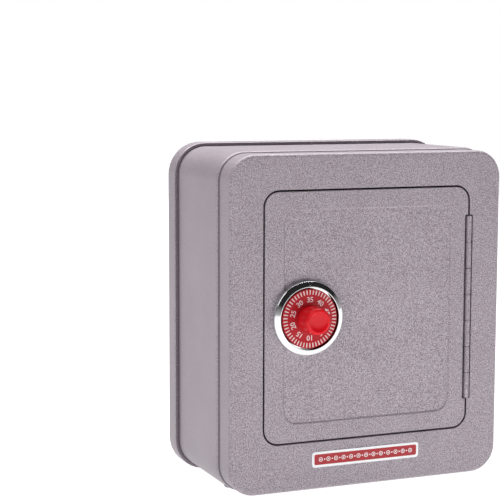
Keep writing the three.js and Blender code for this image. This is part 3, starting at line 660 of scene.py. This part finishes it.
# The label is a thin printed plate: a white border round a red field, with a row of coin
# rings and dots as its ornament.
def label_ink(name, low_tone, high_tone, roughness):
    paint = Paint(name, Specular_IOR_Level=0.5)
    mottle = paint.noise(900.0, 2.0)
    scuff = paint.noise(60.0, 3.0)
    colour = paint.blend(mottle, low_tone, high_tone)
    return paint.set(
        Base_Color=colour, Roughness=roughness + (scuff - 0.5) * 0.2,
        Normal=paint.bump(mottle, 0.00002, 0.3))


label_white = label_ink("label_white", (0.78, 0.78, 0.80), (0.90, 0.90, 0.92), 0.35)
label_red = label_ink("label_red", (0.34, 0.006, 0.011), (0.44, 0.010, 0.017), 0.35)
label_low, label_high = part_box("label")
label_mid = (label_low + label_high) / 2
LABEL_R = 2 * MM
FIELD_CORNER_R = 1 * MM
LABEL_BORDER = 1.5 * MM


def plate(name, x0, x1, z0, z1, radius, y_back, y_front, material, *nodes):
    """A thin rounded plate on the frame's face, with a soft front edge."""
    bm = bmesh.new()
    soft = min(0.12 * MM, 0.4 * (y_back - y_front))
    sides = [(0, y_back), (0, y_front + soft), (-0.3 * soft, y_front + 0.3 * soft), (-soft, y_front)]
    loops = []
    for margin, y in sides:
        a, b, c, d, r = x0 - margin, x1 + margin, z0 - margin, z1 + margin, radius + margin
        loops.append(rounded_loop(bm, [((a, y, c), r), ((b, y, c), r), ((b, y, d), r), ((a, y, d), r)]))
    for first, second in zip(loops, loops[1:]):
        bridge(bm, first, second)
    fill(bm, loops[0])
    fill(bm, loops[-1])
    return finish_piece(name, bm, material, "casing", "label_print", *nodes)


plate("label_plate", label_low.x, label_high.x, label_low.z, label_high.z, LABEL_R,
      label_high.y, label_low.y + 0.1 * MM, label_white, "label")
plate("label_field", label_low.x + LABEL_BORDER, label_high.x - LABEL_BORDER,
      label_low.z + LABEL_BORDER, label_high.z - LABEL_BORDER, FIELD_CORNER_R,
      label_low.y + 0.15 * MM, label_low.y + 0.05 * MM, label_red)

ornament = bmesh.new()
COIN_PITCH = 4.9 * MM
COIN_R = 1.3 * MM
COIN_LINE = 0.35 * MM
COIN_DOT_R = 0.4 * MM
LINK_DOT_R = 0.42 * MM
COINS_PER_SIDE = 6
UPRIGHT = Matrix.Rotation(math.pi / 2, 4, "X")
print_back = label_low.y + 0.08 * MM
print_front = label_low.y


def printed_ring(bm, x, z, outer, line, sides=20):
    """A printed ring, spun from one small rectangle."""
    middle = Vector((x, (print_back + print_front) / 2, z))
    size = Matrix.Diagonal((line, print_back - print_front, 0, 1))
    start = Matrix.Translation(middle + Vector((outer - line / 2, 0, 0)))
    section = bmesh.ops.create_grid(
        bm, x_segments=1, y_segments=1, size=0.5, matrix=start @ size @ UPRIGHT)
    face = section["verts"][0].link_faces[0]
    outline = list(face.edges)
    bmesh.ops.delete(bm, geom=[face], context="FACES_ONLY")
    bmesh.ops.spin(
        bm, geom=section["verts"] + outline, cent=middle, axis=(0, 1, 0), dvec=(0, 0, 0),
        angle=2 * math.pi, steps=sides, use_merge=True, use_duplicate=False)


def printed_dot(bm, x, z, radius, sides=12):
    middle = Matrix.Translation((x, (print_back + print_front) / 2, z))
    bmesh.ops.create_cone(
        bm, cap_ends=True, segments=sides, radius1=radius, radius2=radius,
        depth=print_back - print_front, matrix=middle @ UPRIGHT)


for n in range(-COINS_PER_SIDE, COINS_PER_SIDE + 1):
    coin_x = label_mid.x + n * COIN_PITCH
    printed_ring(ornament, coin_x, label_mid.z, COIN_R, COIN_LINE)
    printed_dot(ornament, coin_x, label_mid.z, COIN_DOT_R)
    if n < COINS_PER_SIDE:
        printed_dot(ornament, coin_x + COIN_PITCH / 2, label_mid.z, LINK_DOT_R)
finish_piece("label_ornament", ornament, label_white, "casing", "label_print")


# ---------------------------------------------------------------- hinge

# A piano hinge: two folded leaves whose knuckles are rolled round a steel pin, seven in all.
# It is painted with the casing, so the barrel is grey and only the pin's ends are bare.
pin_low, pin_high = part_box("hinge_pin")
PIN_R = (pin_high.x - pin_low.x) / 2
KNUCKLES = 7
KNUCKLE_AIR = 0.15 * MM
KNUCKLE_SOFT = 0.25 * MM
LEAF_AIR = 0.3 * MM
LEAF_SHEET = 0.7 * MM
LEAF_FRONT = 2.4 * MM
TONGUE_MID = 1.7 * MM
TONGUE_REACH = 1.6 * MM
BORE_R = PIN_R + 0.2 * MM
knuckle = (pin_high.z - pin_low.z) / KNUCKLES


def circle_loop(bm, x, y, z, radius, sides=32):
    ring = bmesh.ops.create_circle(
        bm, cap_ends=False, segments=sides, radius=radius, matrix=Matrix.Translation((x, y, z)))
    return list({edge for vert in ring["verts"] for edge in vert.link_edges})


def hinge_half(name, node, body, side, first):
    """Every second knuckle from the first one, on tongues that stand on a folded leaf."""
    bm = bmesh.new()
    low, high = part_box(node)
    leaf_x = hinge_x + side * (LEAF_AIR + LEAF_SHEET / 2)
    for n in range(first, KNUCKLES, 2):
        z0 = pin_low.z + n * knuckle + KNUCKLE_AIR
        z1 = pin_low.z + (n + 1) * knuckle - KNUCKLE_AIR
        ends = [(BORE_R, z0), (BARREL_R - KNUCKLE_SOFT, z0), (BARREL_R, z0 + KNUCKLE_SOFT),
                (BARREL_R, z1 - KNUCKLE_SOFT), (BARREL_R - KNUCKLE_SOFT, z1), (BORE_R, z1)]
        loops = [circle_loop(bm, hinge_x, FACE, z, r) for r, z in ends]
        for one, two in zip(loops, loops[1:] + loops[:1]):
            bridge(bm, one, two)
        tongue = Matrix.Translation((leaf_x, FACE + TONGUE_MID, (z0 + z1) / 2))
        tongue_size = Matrix.Diagonal((LEAF_SHEET, TONGUE_REACH, z1 - z0, 1))
        bmesh.ops.create_cube(bm, size=1.0, matrix=tongue @ tongue_size)
    leaf_front = FACE + LEAF_FRONT
    leaf = Matrix.Translation((leaf_x, (leaf_front + high.y) / 2, (low.z + high.z) / 2))
    leaf_size = Matrix.Diagonal((LEAF_SHEET, high.y - leaf_front, high.z - low.z, 1))
    made = bmesh.ops.create_cube(bm, size=1.0, matrix=leaf @ leaf_size)
    edges = list({e for v in made["verts"] for e in v.link_edges})
    bmesh.ops.bevel(
        bm, geom=edges, affect="EDGES", offset=0.15 * MM, segments=2, profile=0.5, material=-1)
    return finish_piece(name, bm, hammered, body, "hammered_paint", node)


hinge_half("hinge_leaf_casing", "hinge_frame_leaf", "casing", 1, 0)
hinge_half("hinge_leaf_door", "hinge_door_leaf", "door", -1, 1)

pin = bmesh.new()
bmesh.ops.create_cone(
    pin, cap_ends=True, segments=24, radius1=PIN_R, radius2=PIN_R, depth=pin_high.z - pin_low.z,
    matrix=Matrix.Translation((hinge_x, FACE, (pin_low.z + pin_high.z) / 2)))
pin_rims = [e for e in pin.edges if abs(e.verts[0].co.z - e.verts[1].co.z) < 1e-6]
bmesh.ops.bevel(pin, geom=pin_rims, affect="EDGES", offset=0.2 * MM, segments=3, profile=0.5, material=-1)
finish_piece("hinge_wire", pin, steel, "casing", "plated_steel", "hinge_pin")


# ---------------------------------------------------------------- door

# The door is a pressed pan: edges folded back, a field pressed in by 0.9 mm with a soft step,
# and a hole for the dial's spindle. It has the casing's paint.
DOOR_SHEET = 0.8 * MM
DOOR_EDGE = 0.55 * MM
FIELD_HALF = Vector((53.3 * MM, 0, 61.3 * MM))
FIELD_R = 8 * MM
FIELD_SINK = 0.9 * MM
FIELD_STEP = 1.1 * MM
STEP_POINTS = 8
door_depth = door_high.y - FACE
dial_low, dial_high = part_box("dial_plate")
dial_mid = (dial_low + dial_high) / 2
spindle_low, spindle_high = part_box("dial_spindle")
SPINDLE_R = (spindle_high.x - spindle_low.x) / 2
HOLE_R = SPINDLE_R + 0.3 * MM


def door_loop(bm, margin, depth):
    """The door's outline, with its half of the hinge slot, grown by a margin."""
    x = door_half.x + margin
    z = door_half.z + margin
    far = hinge_x - SLOT_HALF + margin
    reach = slot_half - margin
    outer = DOOR_R + margin
    wide = SLOT_R + max(margin, -0.35 * MM)
    tight = SLOT_R + max(-margin, 0)
    spots = [
        (-x, -z, outer), (x, -z, outer), (x, -reach, wide), (far, -reach, tight),
        (far, reach, tight), (x, reach, wide), (x, z, outer), (-x, z, outer),
    ]
    return rounded_loop(bm, [((a, FACE + depth, door_mid.z + b), r) for a, b, r in spots])


def field_loop(bm, margin, depth):
    x = FIELD_HALF.x + margin
    z = FIELD_HALF.z + margin
    ends = ((-x, -z), (x, -z), (x, z), (-x, z))
    return rounded_loop(bm, [((a, FACE + depth, door_mid.z + b), FIELD_R + margin) for a, b in ends])


def hole_loop(bm, depth):
    turn = Matrix.Rotation(math.pi / 2, 4, "X")
    place = Matrix.Translation((dial_mid.x, FACE + depth, dial_mid.z)) @ turn
    ring = bmesh.ops.create_circle(bm, cap_ends=False, segments=32, radius=HOLE_R, matrix=place)
    return list({edge for vert in ring["verts"] for edge in vert.link_edges})


def s_step(top, bottom, width):
    """Points (margin, depth) down a soft S-shaped step in pressed sheet."""
    points = []
    for n in range(STEP_POINTS + 1):
        share = n / STEP_POINTS
        ease = share * share * (3 - 2 * share)
        points.append((width * (1 - share), top + (bottom - top) * ease))
    return points


door = bmesh.new()
front_step = s_step(0, FIELD_SINK, FIELD_STEP)
back_step = [(m, t + DOOR_SHEET) for m, t in reversed(front_step)]
edge_side = quarter((-DOOR_EDGE, DOOR_EDGE), (DOOR_EDGE, DOOR_EDGE), -90, 4)
edge_side += [(0, door_depth), (-DOOR_SHEET, door_depth), (-DOOR_SHEET, DOOR_SHEET)]
edge_loops = [door_loop(door, m, t) for m, t in edge_side]
step_loops = [field_loop(door, m, t) for m, t in front_step]
back_loops = [field_loop(door, m, t) for m, t in back_step]
hole_loops = [hole_loop(door, FIELD_SINK), hole_loop(door, FIELD_SINK + DOOR_SHEET)]
for loops in (edge_loops, step_loops, back_loops, hole_loops):
    for first, second in zip(loops, loops[1:]):
        bridge(door, first, second)
fill(door, edge_loops[0], step_loops[0])
fill(door, step_loops[-1], hole_loops[0])
fill(door, hole_loops[1], back_loops[0])
fill(door, back_loops[-1], edge_loops[-1])
door_pan = finish_piece("door_pressing", door, hammered, "door", "hammered_paint", "door_skin")
shade_gap_edges(door_pan, door_half.x + MM, door_half.z + MM, FIELD_SINK + DOOR_SHEET + 0.4 * MM)


# ---------------------------------------------------------------- dial

# A chromed cup holds the dial. Its rim is a bright cone with a rolled inner lip, and a short
# skirt stands on the door's field, cut back where it meets the raised border.
def chrome_plate():
    paint = Paint("chrome_plate", Metallic=1.0)
    haze = paint.noise(260.0, 3.0)
    ripple = paint.noise(90.0, 1.0)
    colour = paint.blend(haze, (0.80, 0.81, 0.83), (0.90, 0.905, 0.915))
    return paint.set(
        Base_Color=colour, Roughness=0.055 + haze * 0.05, Normal=paint.bump(ripple, 0.00006, 0.25))


chrome = chrome_plate()
ring_low, ring_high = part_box("dial_ring")
RING_R = (ring_high.z - ring_low.z) / 2
ring_front = ring_low.y - FACE
DIAL_R = (dial_high.x - dial_low.x) / 2
ring_base = ring_high.y - FACE
CONE_DEPTH = 1.75 * MM
SKIRT_SHEET = 2.0 * MM
DOOR_CLEAR = -0.2 * MM
cup_inner = DIAL_R + 0.6 * MM
cup_floor = -1.2 * MM
axis_point = (dial_mid.x, FACE, dial_mid.z)
ring_profile = [
    (HOLE_R + 0.4 * MM, DOOR_CLEAR, 0), (RING_R - SKIRT_SHEET, DOOR_CLEAR, 0),
    (RING_R - SKIRT_SHEET, ring_base, 0), (RING_R, ring_base, 0.1 * MM),
    (RING_R, ring_front + CONE_DEPTH, 0.5 * MM),
    (cup_inner + 0.8 * MM, ring_front + 0.2 * MM, 0.2 * MM),
    (cup_inner + 0.5 * MM, ring_front, 0.15 * MM), (cup_inner + 0.02 * MM, ring_front, 0.2 * MM),
    (cup_inner, cup_floor, 0), (HOLE_R + 0.4 * MM, cup_floor, 0),
]
turned_piece(
    "dial_cup", axis_point, ring_profile, chrome, "door", "dial_chrome", "dial_ring", steps=128)

# A small ridge pressed into the cup's slope at twelve o'clock is the index.
INDEX_IN = RING_R - 2.6 * MM
INDEX_OUT = RING_R - 0.2 * MM
INDEX_W = 0.55 * MM
INDEX_TALL = 0.7 * MM
INDEX_DEPTH = 0.85 * MM
CONE_TILT = -31
index = bmesh.new()
index_tilt = Matrix.Rotation(math.radians(CONE_TILT), 4, "X")
index_place = Matrix.Translation(
    (dial_mid.x, FACE + ring_front + INDEX_DEPTH, dial_mid.z + (INDEX_IN + INDEX_OUT) / 2))
index_size = Matrix.Diagonal((INDEX_W, INDEX_TALL, INDEX_OUT - INDEX_IN, 1))
bmesh.ops.create_cube(index, size=1.0, matrix=index_place @ index_tilt @ index_size)
crest = sorted(index.edges, key=lambda e: sum(v.co.y for v in e.verts))[:4]
bmesh.ops.bevel(
    index, geom=crest, affect="EDGES", offset=0.2 * MM, segments=3, profile=0.5, material=-1,
    clamp_overlap=True)
finish_piece("dial_index", index, chrome, "door", "dial_chrome")


# The red dial plate is a turned disc in enamel with a bevelled edge.
def dial_enamel():
    paint = Paint("dial_enamel", Specular_IOR_Level=0.12, Coat_Roughness=0.12)
    mottle = paint.noise(700.0, 2.0)
    clouds = paint.noise(110.0, 2.0)
    tone = 0.5 + (mottle - 0.5) * 0.8 + (clouds - 0.5) * 0.5
    colour = paint.blend(tone, (0.34, 0.008, 0.014), (0.46, 0.012, 0.020))
    return paint.set(
        Base_Color=colour, Roughness=0.33 + (clouds - 0.5) * 0.15, Coat_Weight=0.06,
        Normal=paint.bump(mottle, 0.00003, 0.35))


enamel = dial_enamel()
dial_front = dial_low.y - FACE
DISC_R = DIAL_R - 0.3 * MM
dial_back = dial_high.y - FACE
turned_piece(
    "dial_disc", axis_point,
    [(HOLE_R, dial_back, 0), (DISC_R - 0.6 * MM, dial_back, 0), (DISC_R, dial_back - 0.6 * MM, 0.1 * MM),
     (DISC_R, dial_front + 0.45 * MM, 0.25 * MM), (DISC_R - 0.45 * MM, dial_front, 0.25 * MM),
     (HOLE_R, dial_front, 0)],
    enamel, "dial", "dial_red", "dial_plate", steps=128)


# Fifty divisions and ten numbers are screen printed in white on the disc. The numbers run
# clockwise in fives, with 35 at the index when the dial is at rest.
def dial_white():
    paint = Paint("dial_white", Specular_IOR_Level=0.4)
    mottle = paint.noise(1200.0, 2.0)
    colour = paint.blend(mottle, (0.55, 0.40, 0.41), (0.76, 0.64, 0.65))
    return paint.set(Base_Color=colour, Roughness=0.5, Normal=paint.bump(mottle, 0.00002, 0.3))


INK = 0.05 * MM
DIVISIONS = 50
TICK_IN = 14.0 * MM
TICK_OUT = 16.6 * MM
TICK_W = 0.78 * MM
TICK_TAPER = 0.72  # inner end over outer end
NUMBER_R = 10.9 * MM
NUMBER_H = 4.2 * MM
NUMBER_AT_INDEX = 35
prints = bmesh.new()
ink_y = FACE + dial_front - INK / 2
for n in range(DIVISIONS):
    division = Matrix.Rotation(2 * math.pi * n / DIVISIONS, 4, "Y")
    turn = Matrix.Translation((dial_mid.x, ink_y, dial_mid.z)) @ division
    middle_r = Matrix.Translation((0, 0, (TICK_IN + TICK_OUT) / 2))
    size = Matrix.Diagonal((TICK_W, 1.6 * INK, TICK_OUT - TICK_IN, 1))
    tick = bmesh.ops.create_cube(prints, size=1.0, matrix=turn @ middle_r @ size)
    centre_line = Vector((dial_mid.x, ink_y, dial_mid.z))
    inner = sorted(tick["verts"], key=lambda v: (v.co - centre_line).length)[:4]
    pull = sum((v.co for v in inner), Vector()) / 4
    bmesh.ops.scale(
        prints, verts=inner, vec=(TICK_TAPER, 1, TICK_TAPER), space=Matrix.Translation(-pull))
for n in range(0, DIVISIONS, 5):
    words = bpy.data.curves.new(f"number_{n}", "FONT")
    words.body = str((NUMBER_AT_INDEX + n) % DIVISIONS)
    words.size = NUMBER_H
    words.align_x = "CENTER"
    words.align_y = "CENTER"
    words.extrude = INK
    words.offset = 0.06 * MM
    words.resolution_u = 3
    holder = bpy.data.objects.new(f"number_{n}", words)
    flat_number = bpy.data.meshes.new_from_object(holder)
    flat_number.transform(
        Matrix.Translation((dial_mid.x, ink_y, dial_mid.z))
        @ Matrix.Rotation(2 * math.pi * n / DIVISIONS, 4, "Y")
        @ Matrix.Translation((0, 0, NUMBER_R)) @ Matrix.Rotation(math.pi / 2, 4, "X"))
    prints.from_mesh(flat_number)
    bpy.data.objects.remove(holder)
    bpy.data.meshes.remove(flat_number)
finish_piece("dial_printing", prints, dial_white(), "dial", "dial_red")


# The knob is moulded in clear red plastic, with a rolled rim round a shallow dished face.
def knob_plastic():
    paint = Paint(
        "knob_plastic", Specular_IOR_Level=0.2, Subsurface_Weight=0.2, Subsurface_Scale=0.004,
        Subsurface_Radius=(1.0, 0.25, 0.2), Coat_Roughness=0.08)
    clouds = paint.noise(140.0, 2.0)
    fine = paint.noise(900.0, 2.0)
    colour = paint.blend(clouds, (0.56, 0.004, 0.010), (0.68, 0.008, 0.016))
    return paint.set(
        Base_Color=colour, Roughness=0.26 + (clouds - 0.5) * 0.12, Coat_Weight=0.08,
        Normal=paint.bump(fine, 0.00002, 0.25))


knob_low, knob_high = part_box("dial_knob")
KNOB_R = (knob_high.x - knob_low.x) / 2
knob_front = knob_low.y - FACE
knob_back = knob_high.y - FACE
bore_end = knob_front + 3 * MM
turned_piece(
    "dial_grip", axis_point,
    [(0, knob_front + 1.1 * MM, 0), (KNOB_R - 3.4 * MM, knob_front + 0.85 * MM, 0.9 * MM),
     (KNOB_R - 2.1 * MM, knob_front + 0.1 * MM, 0.4 * MM), (KNOB_R - 1.3 * MM, knob_front, 0.4 * MM),
     (KNOB_R - 0.1 * MM, knob_front + 1.1 * MM, 0.8 * MM), (KNOB_R, knob_back - 1.0 * MM, 0.4 * MM),
     (KNOB_R, knob_back, 0.1 * MM), (HOLE_R, knob_back, 0), (HOLE_R, bore_end, 0), (0, bore_end, 0)],
    knob_plastic(), "dial", "knob_red", "dial_knob", steps=96)

# ---------------------------------------------------------------- lock works

# The lock behind the dial: a folded steel case and lid, the bolt with its pull-back spring,
# the fence lever on a rivet, and cam and wheels on the spindle. All are small stampings, so
# each keeps its plain outline and gets tumbled, slightly rounded edges.
home = {node: body for body, nodes in frame["record"]["behaviour"]["bodies"].items() for node in nodes}


def softened(name, node, width, material, slot):
    """A copy of a CAD piece with its sharp edges rounded."""
    bm = bmesh.new()
    bm.from_mesh(bpy.data.objects[node].data)
    bmesh.ops.remove_doubles(bm, verts=bm.verts, dist=2e-6)
    bmesh.ops.dissolve_limit(
        bm, angle_limit=math.radians(1), use_dissolve_boundaries=False, verts=bm.verts, edges=bm.edges,
        delimit={"NORMAL"})
    corners = [edge for edge in bm.edges if edge.is_manifold and edge.calc_face_angle(0) > math.radians(30)]
    bmesh.ops.bevel(
        bm, geom=corners, affect="EDGES", offset=width, segments=2, profile=0.5, material=-1,
        clamp_overlap=True, loop_slide=True, offset_type="OFFSET")
    return finish_piece(name, bm, material, home[node], slot, node, sharp=50)


def brass_plate(name):
    paint = Paint(name, Metallic=1.0)
    brushed = paint.noise(1.0, 3.0, 0.6, paint.stretched(900.0, 60.0, 900.0))
    tarnish = paint.noise(120.0, 3.0)
    colour = paint.blend(0.5 + (tarnish - 0.5) * 1.5, (0.50, 0.33, 0.11), (0.78, 0.58, 0.27))
    return paint.set(
        Base_Color=colour, Roughness=0.28 + brushed * 0.15 + (tarnish - 0.5) * 0.2,
        Normal=paint.bump(brushed, 0.00003, 0.3))


brass = brass_plate("lock_brass")
blued = plated_steel("blued_steel", (0.33, 0.33, 0.35))
softened("door_back_sheet", "door_liner", 0.15 * MM, steel, "plated_steel")
softened("lock_housing", "lock_case", 0.25 * MM, steel, "plated_steel")
softened("lock_lid", "lock_plate", 0.25 * MM, steel, "plated_steel")
softened("sliding_bolt", "latch_bolt", 0.2 * MM, steel, "plated_steel")
softened("bolt_rivet", "lever_pivot", 0.2 * MM, steel, "plated_steel")
softened("gate_lever", "fence_lever", 0.2 * MM, blued, "plated_steel")
softened("dial_shaft", "dial_spindle", 0.25 * MM, steel, "plated_steel")
softened("dial_cam", "drive_cam", 0.15 * MM, blued, "plated_steel")
softened("shaft_clip", "spindle_clip", 0.12 * MM, blued, "plated_steel")
softened("shaft_bush", "spindle_bush", 0.2 * MM, brass, "lock_brass")
softened("number_wheel_1", "wheel_1", 0.2 * MM, brass, "lock_brass")
softened("number_wheel_2", "wheel_2", 0.2 * MM, brass, "lock_brass")
for number in range(1, 5):
    screw(f"lock_lid_screw_{number}", f"lock_screw_{number}", "door", 2.0 * MM, 1.0 * MM)


# Coil springs are wound from round wire, one for the bolt and one for the alarm plunger.
def coil_spring(name, node, axis, wire, turns, body):
    low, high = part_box(node)
    middle = (low + high) / 2
    along = Vector(axis)
    length = (high - low).dot(along) - wire
    radius = ((high - low) - along * (high - low).dot(along)).length / math.sqrt(2) / 2 - wire / 2
    start = middle - along * length / 2
    side = Vector((0, 0, 1))
    bm = bmesh.new()
    facing = along.cross(side).to_track_quat("Z", "Y").to_matrix().to_4x4()
    bmesh.ops.create_circle(
        bm, cap_ends=False, segments=10, radius=wire / 2,
        matrix=Matrix.Translation(start + side * radius) @ facing)
    steps = 24 * turns
    bmesh.ops.spin(
        bm, geom=list(bm.verts) + list(bm.edges), cent=start, axis=along, dvec=along * length / steps,
        angle=2 * math.pi * turns, steps=steps, use_merge=False, use_duplicate=False)
    bmesh.ops.holes_fill(bm, edges=[edge for edge in bm.edges if edge.is_boundary], sides=12)
    spring = finish_piece(name, bm, steel, body, "plated_steel", node)
    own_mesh(spring)


coil_spring("bolt_coil", "bolt_spring", (1, 0, 0), 0.6 * MM, 9, "door")


# ---------------------------------------------------------------- door alarm

# A battery alarm hangs under the casing's top: a black moulded case with a lid, a plunger
# that feels the door, a slide switch and a battery cover, on a bent steel bracket.
def moulded_black(name, low_tone, high_tone):
    paint = Paint(name, Specular_IOR_Level=0.45)
    grain = paint.noise(1100.0, 3.0)
    pits = paint.node(
        "ShaderNodeTexVoronoi", {"feature": "SMOOTH_F1"}, {"Vector": paint.place, "Scale": 900.0})
    clouds = paint.noise(80.0, 2.0)
    colour = paint.blend(0.5 + (clouds - 0.5) + (grain - 0.5) * 0.6, low_tone, high_tone)
    return paint.set(
        Base_Color=colour, Roughness=0.48 + (clouds - 0.5) * 0.2,
        Normal=paint.bump(grain + pits * 0.5, 0.00006, 0.5))


black = moulded_black("black_moulding", (0.012, 0.012, 0.013), (0.028, 0.028, 0.031))
charcoal = moulded_black("charcoal_moulding", (0.05, 0.05, 0.055), (0.09, 0.09, 0.095))
softened("alarm_housing", "alarm_case", 0.4 * MM, black, "black_plastic")
softened("alarm_lid", "alarm_back", 0.25 * MM, black, "black_plastic")
softened("alarm_strap", "alarm_bracket", 0.25 * MM, steel, "plated_steel")
softened("alarm_feeler", "alarm_plunger", 0.15 * MM, charcoal, "black_plastic")
softened("alarm_slide", "alarm_switch", 0.2 * MM, charcoal, "black_plastic")
softened("battery_lid_cover", "battery_cover", 0.3 * MM, charcoal, "black_plastic")
for number in (1, 2):
    screw(f"alarm_strap_screw_{number}", f"alarm_screw_{number}", "casing", 2.0 * MM, 1.0 * MM)
coil_spring("plunger_coil", "plunger_spring", (0, 1, 0), 0.5 * MM, 4, "casing")


# Sealed inside the alarm are two cells in a printed sleeve, brass contacts, a circuit board,
# a push switch and a buzzer. They keep their CAD shapes and get their finishes here.
def circuit_green():
    paint = Paint("circuit_green", Specular_IOR_Level=0.5)
    weave = paint.noise(700.0, 2.0)
    tracks = paint.node(
        "ShaderNodeTexBrick", {"offset": 0.5}, {"Vector": paint.place, "Scale": 180.0, "Mortar Size": 0.03},
        output=1)
    green = paint.blend(weave, (0.01, 0.10, 0.035), (0.02, 0.16, 0.06))
    return paint.set(
        Base_Color=paint.blend(tracks, green, (0.05, 0.26, 0.10)), Roughness=0.35 + (weave - 0.5) * 0.2)


def cell_sleeve():
    paint = Paint("cell_sleeve", Specular_IOR_Level=0.5)
    split = paint.node("ShaderNodeSeparateXYZ", None, {0: paint.place}, output=0)
    print_noise = paint.noise(500.0, 2.0)
    film = paint.blend(print_noise, (0.02, 0.025, 0.06), (0.035, 0.045, 0.10))
    return paint.set(
        Base_Color=paint.blend(split > CELL_BAND_X, film, (0.62, 0.40, 0.16)),
        Roughness=0.3 + (print_noise - 0.5) * 0.2)


cell_low, cell_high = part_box("battery_cell_1")
CELL_BAND_X = cell_high.x - 0.3 * (cell_high.x - cell_low.x)
finishes = {
    "battery_cell_1": cell_sleeve(), "battery_cell_2": bpy.data.materials["cell_sleeve"],
    "contact_left": brass, "contact_right": brass, "circuit_board": circuit_green(),
    "push_switch": black, "buzzer": black,
}
for node, finish in finishes.items():
    carried = bpy.data.objects[node]
    for place in range(len(carried.material_slots)):
        carried.material_slots[place].material = finish
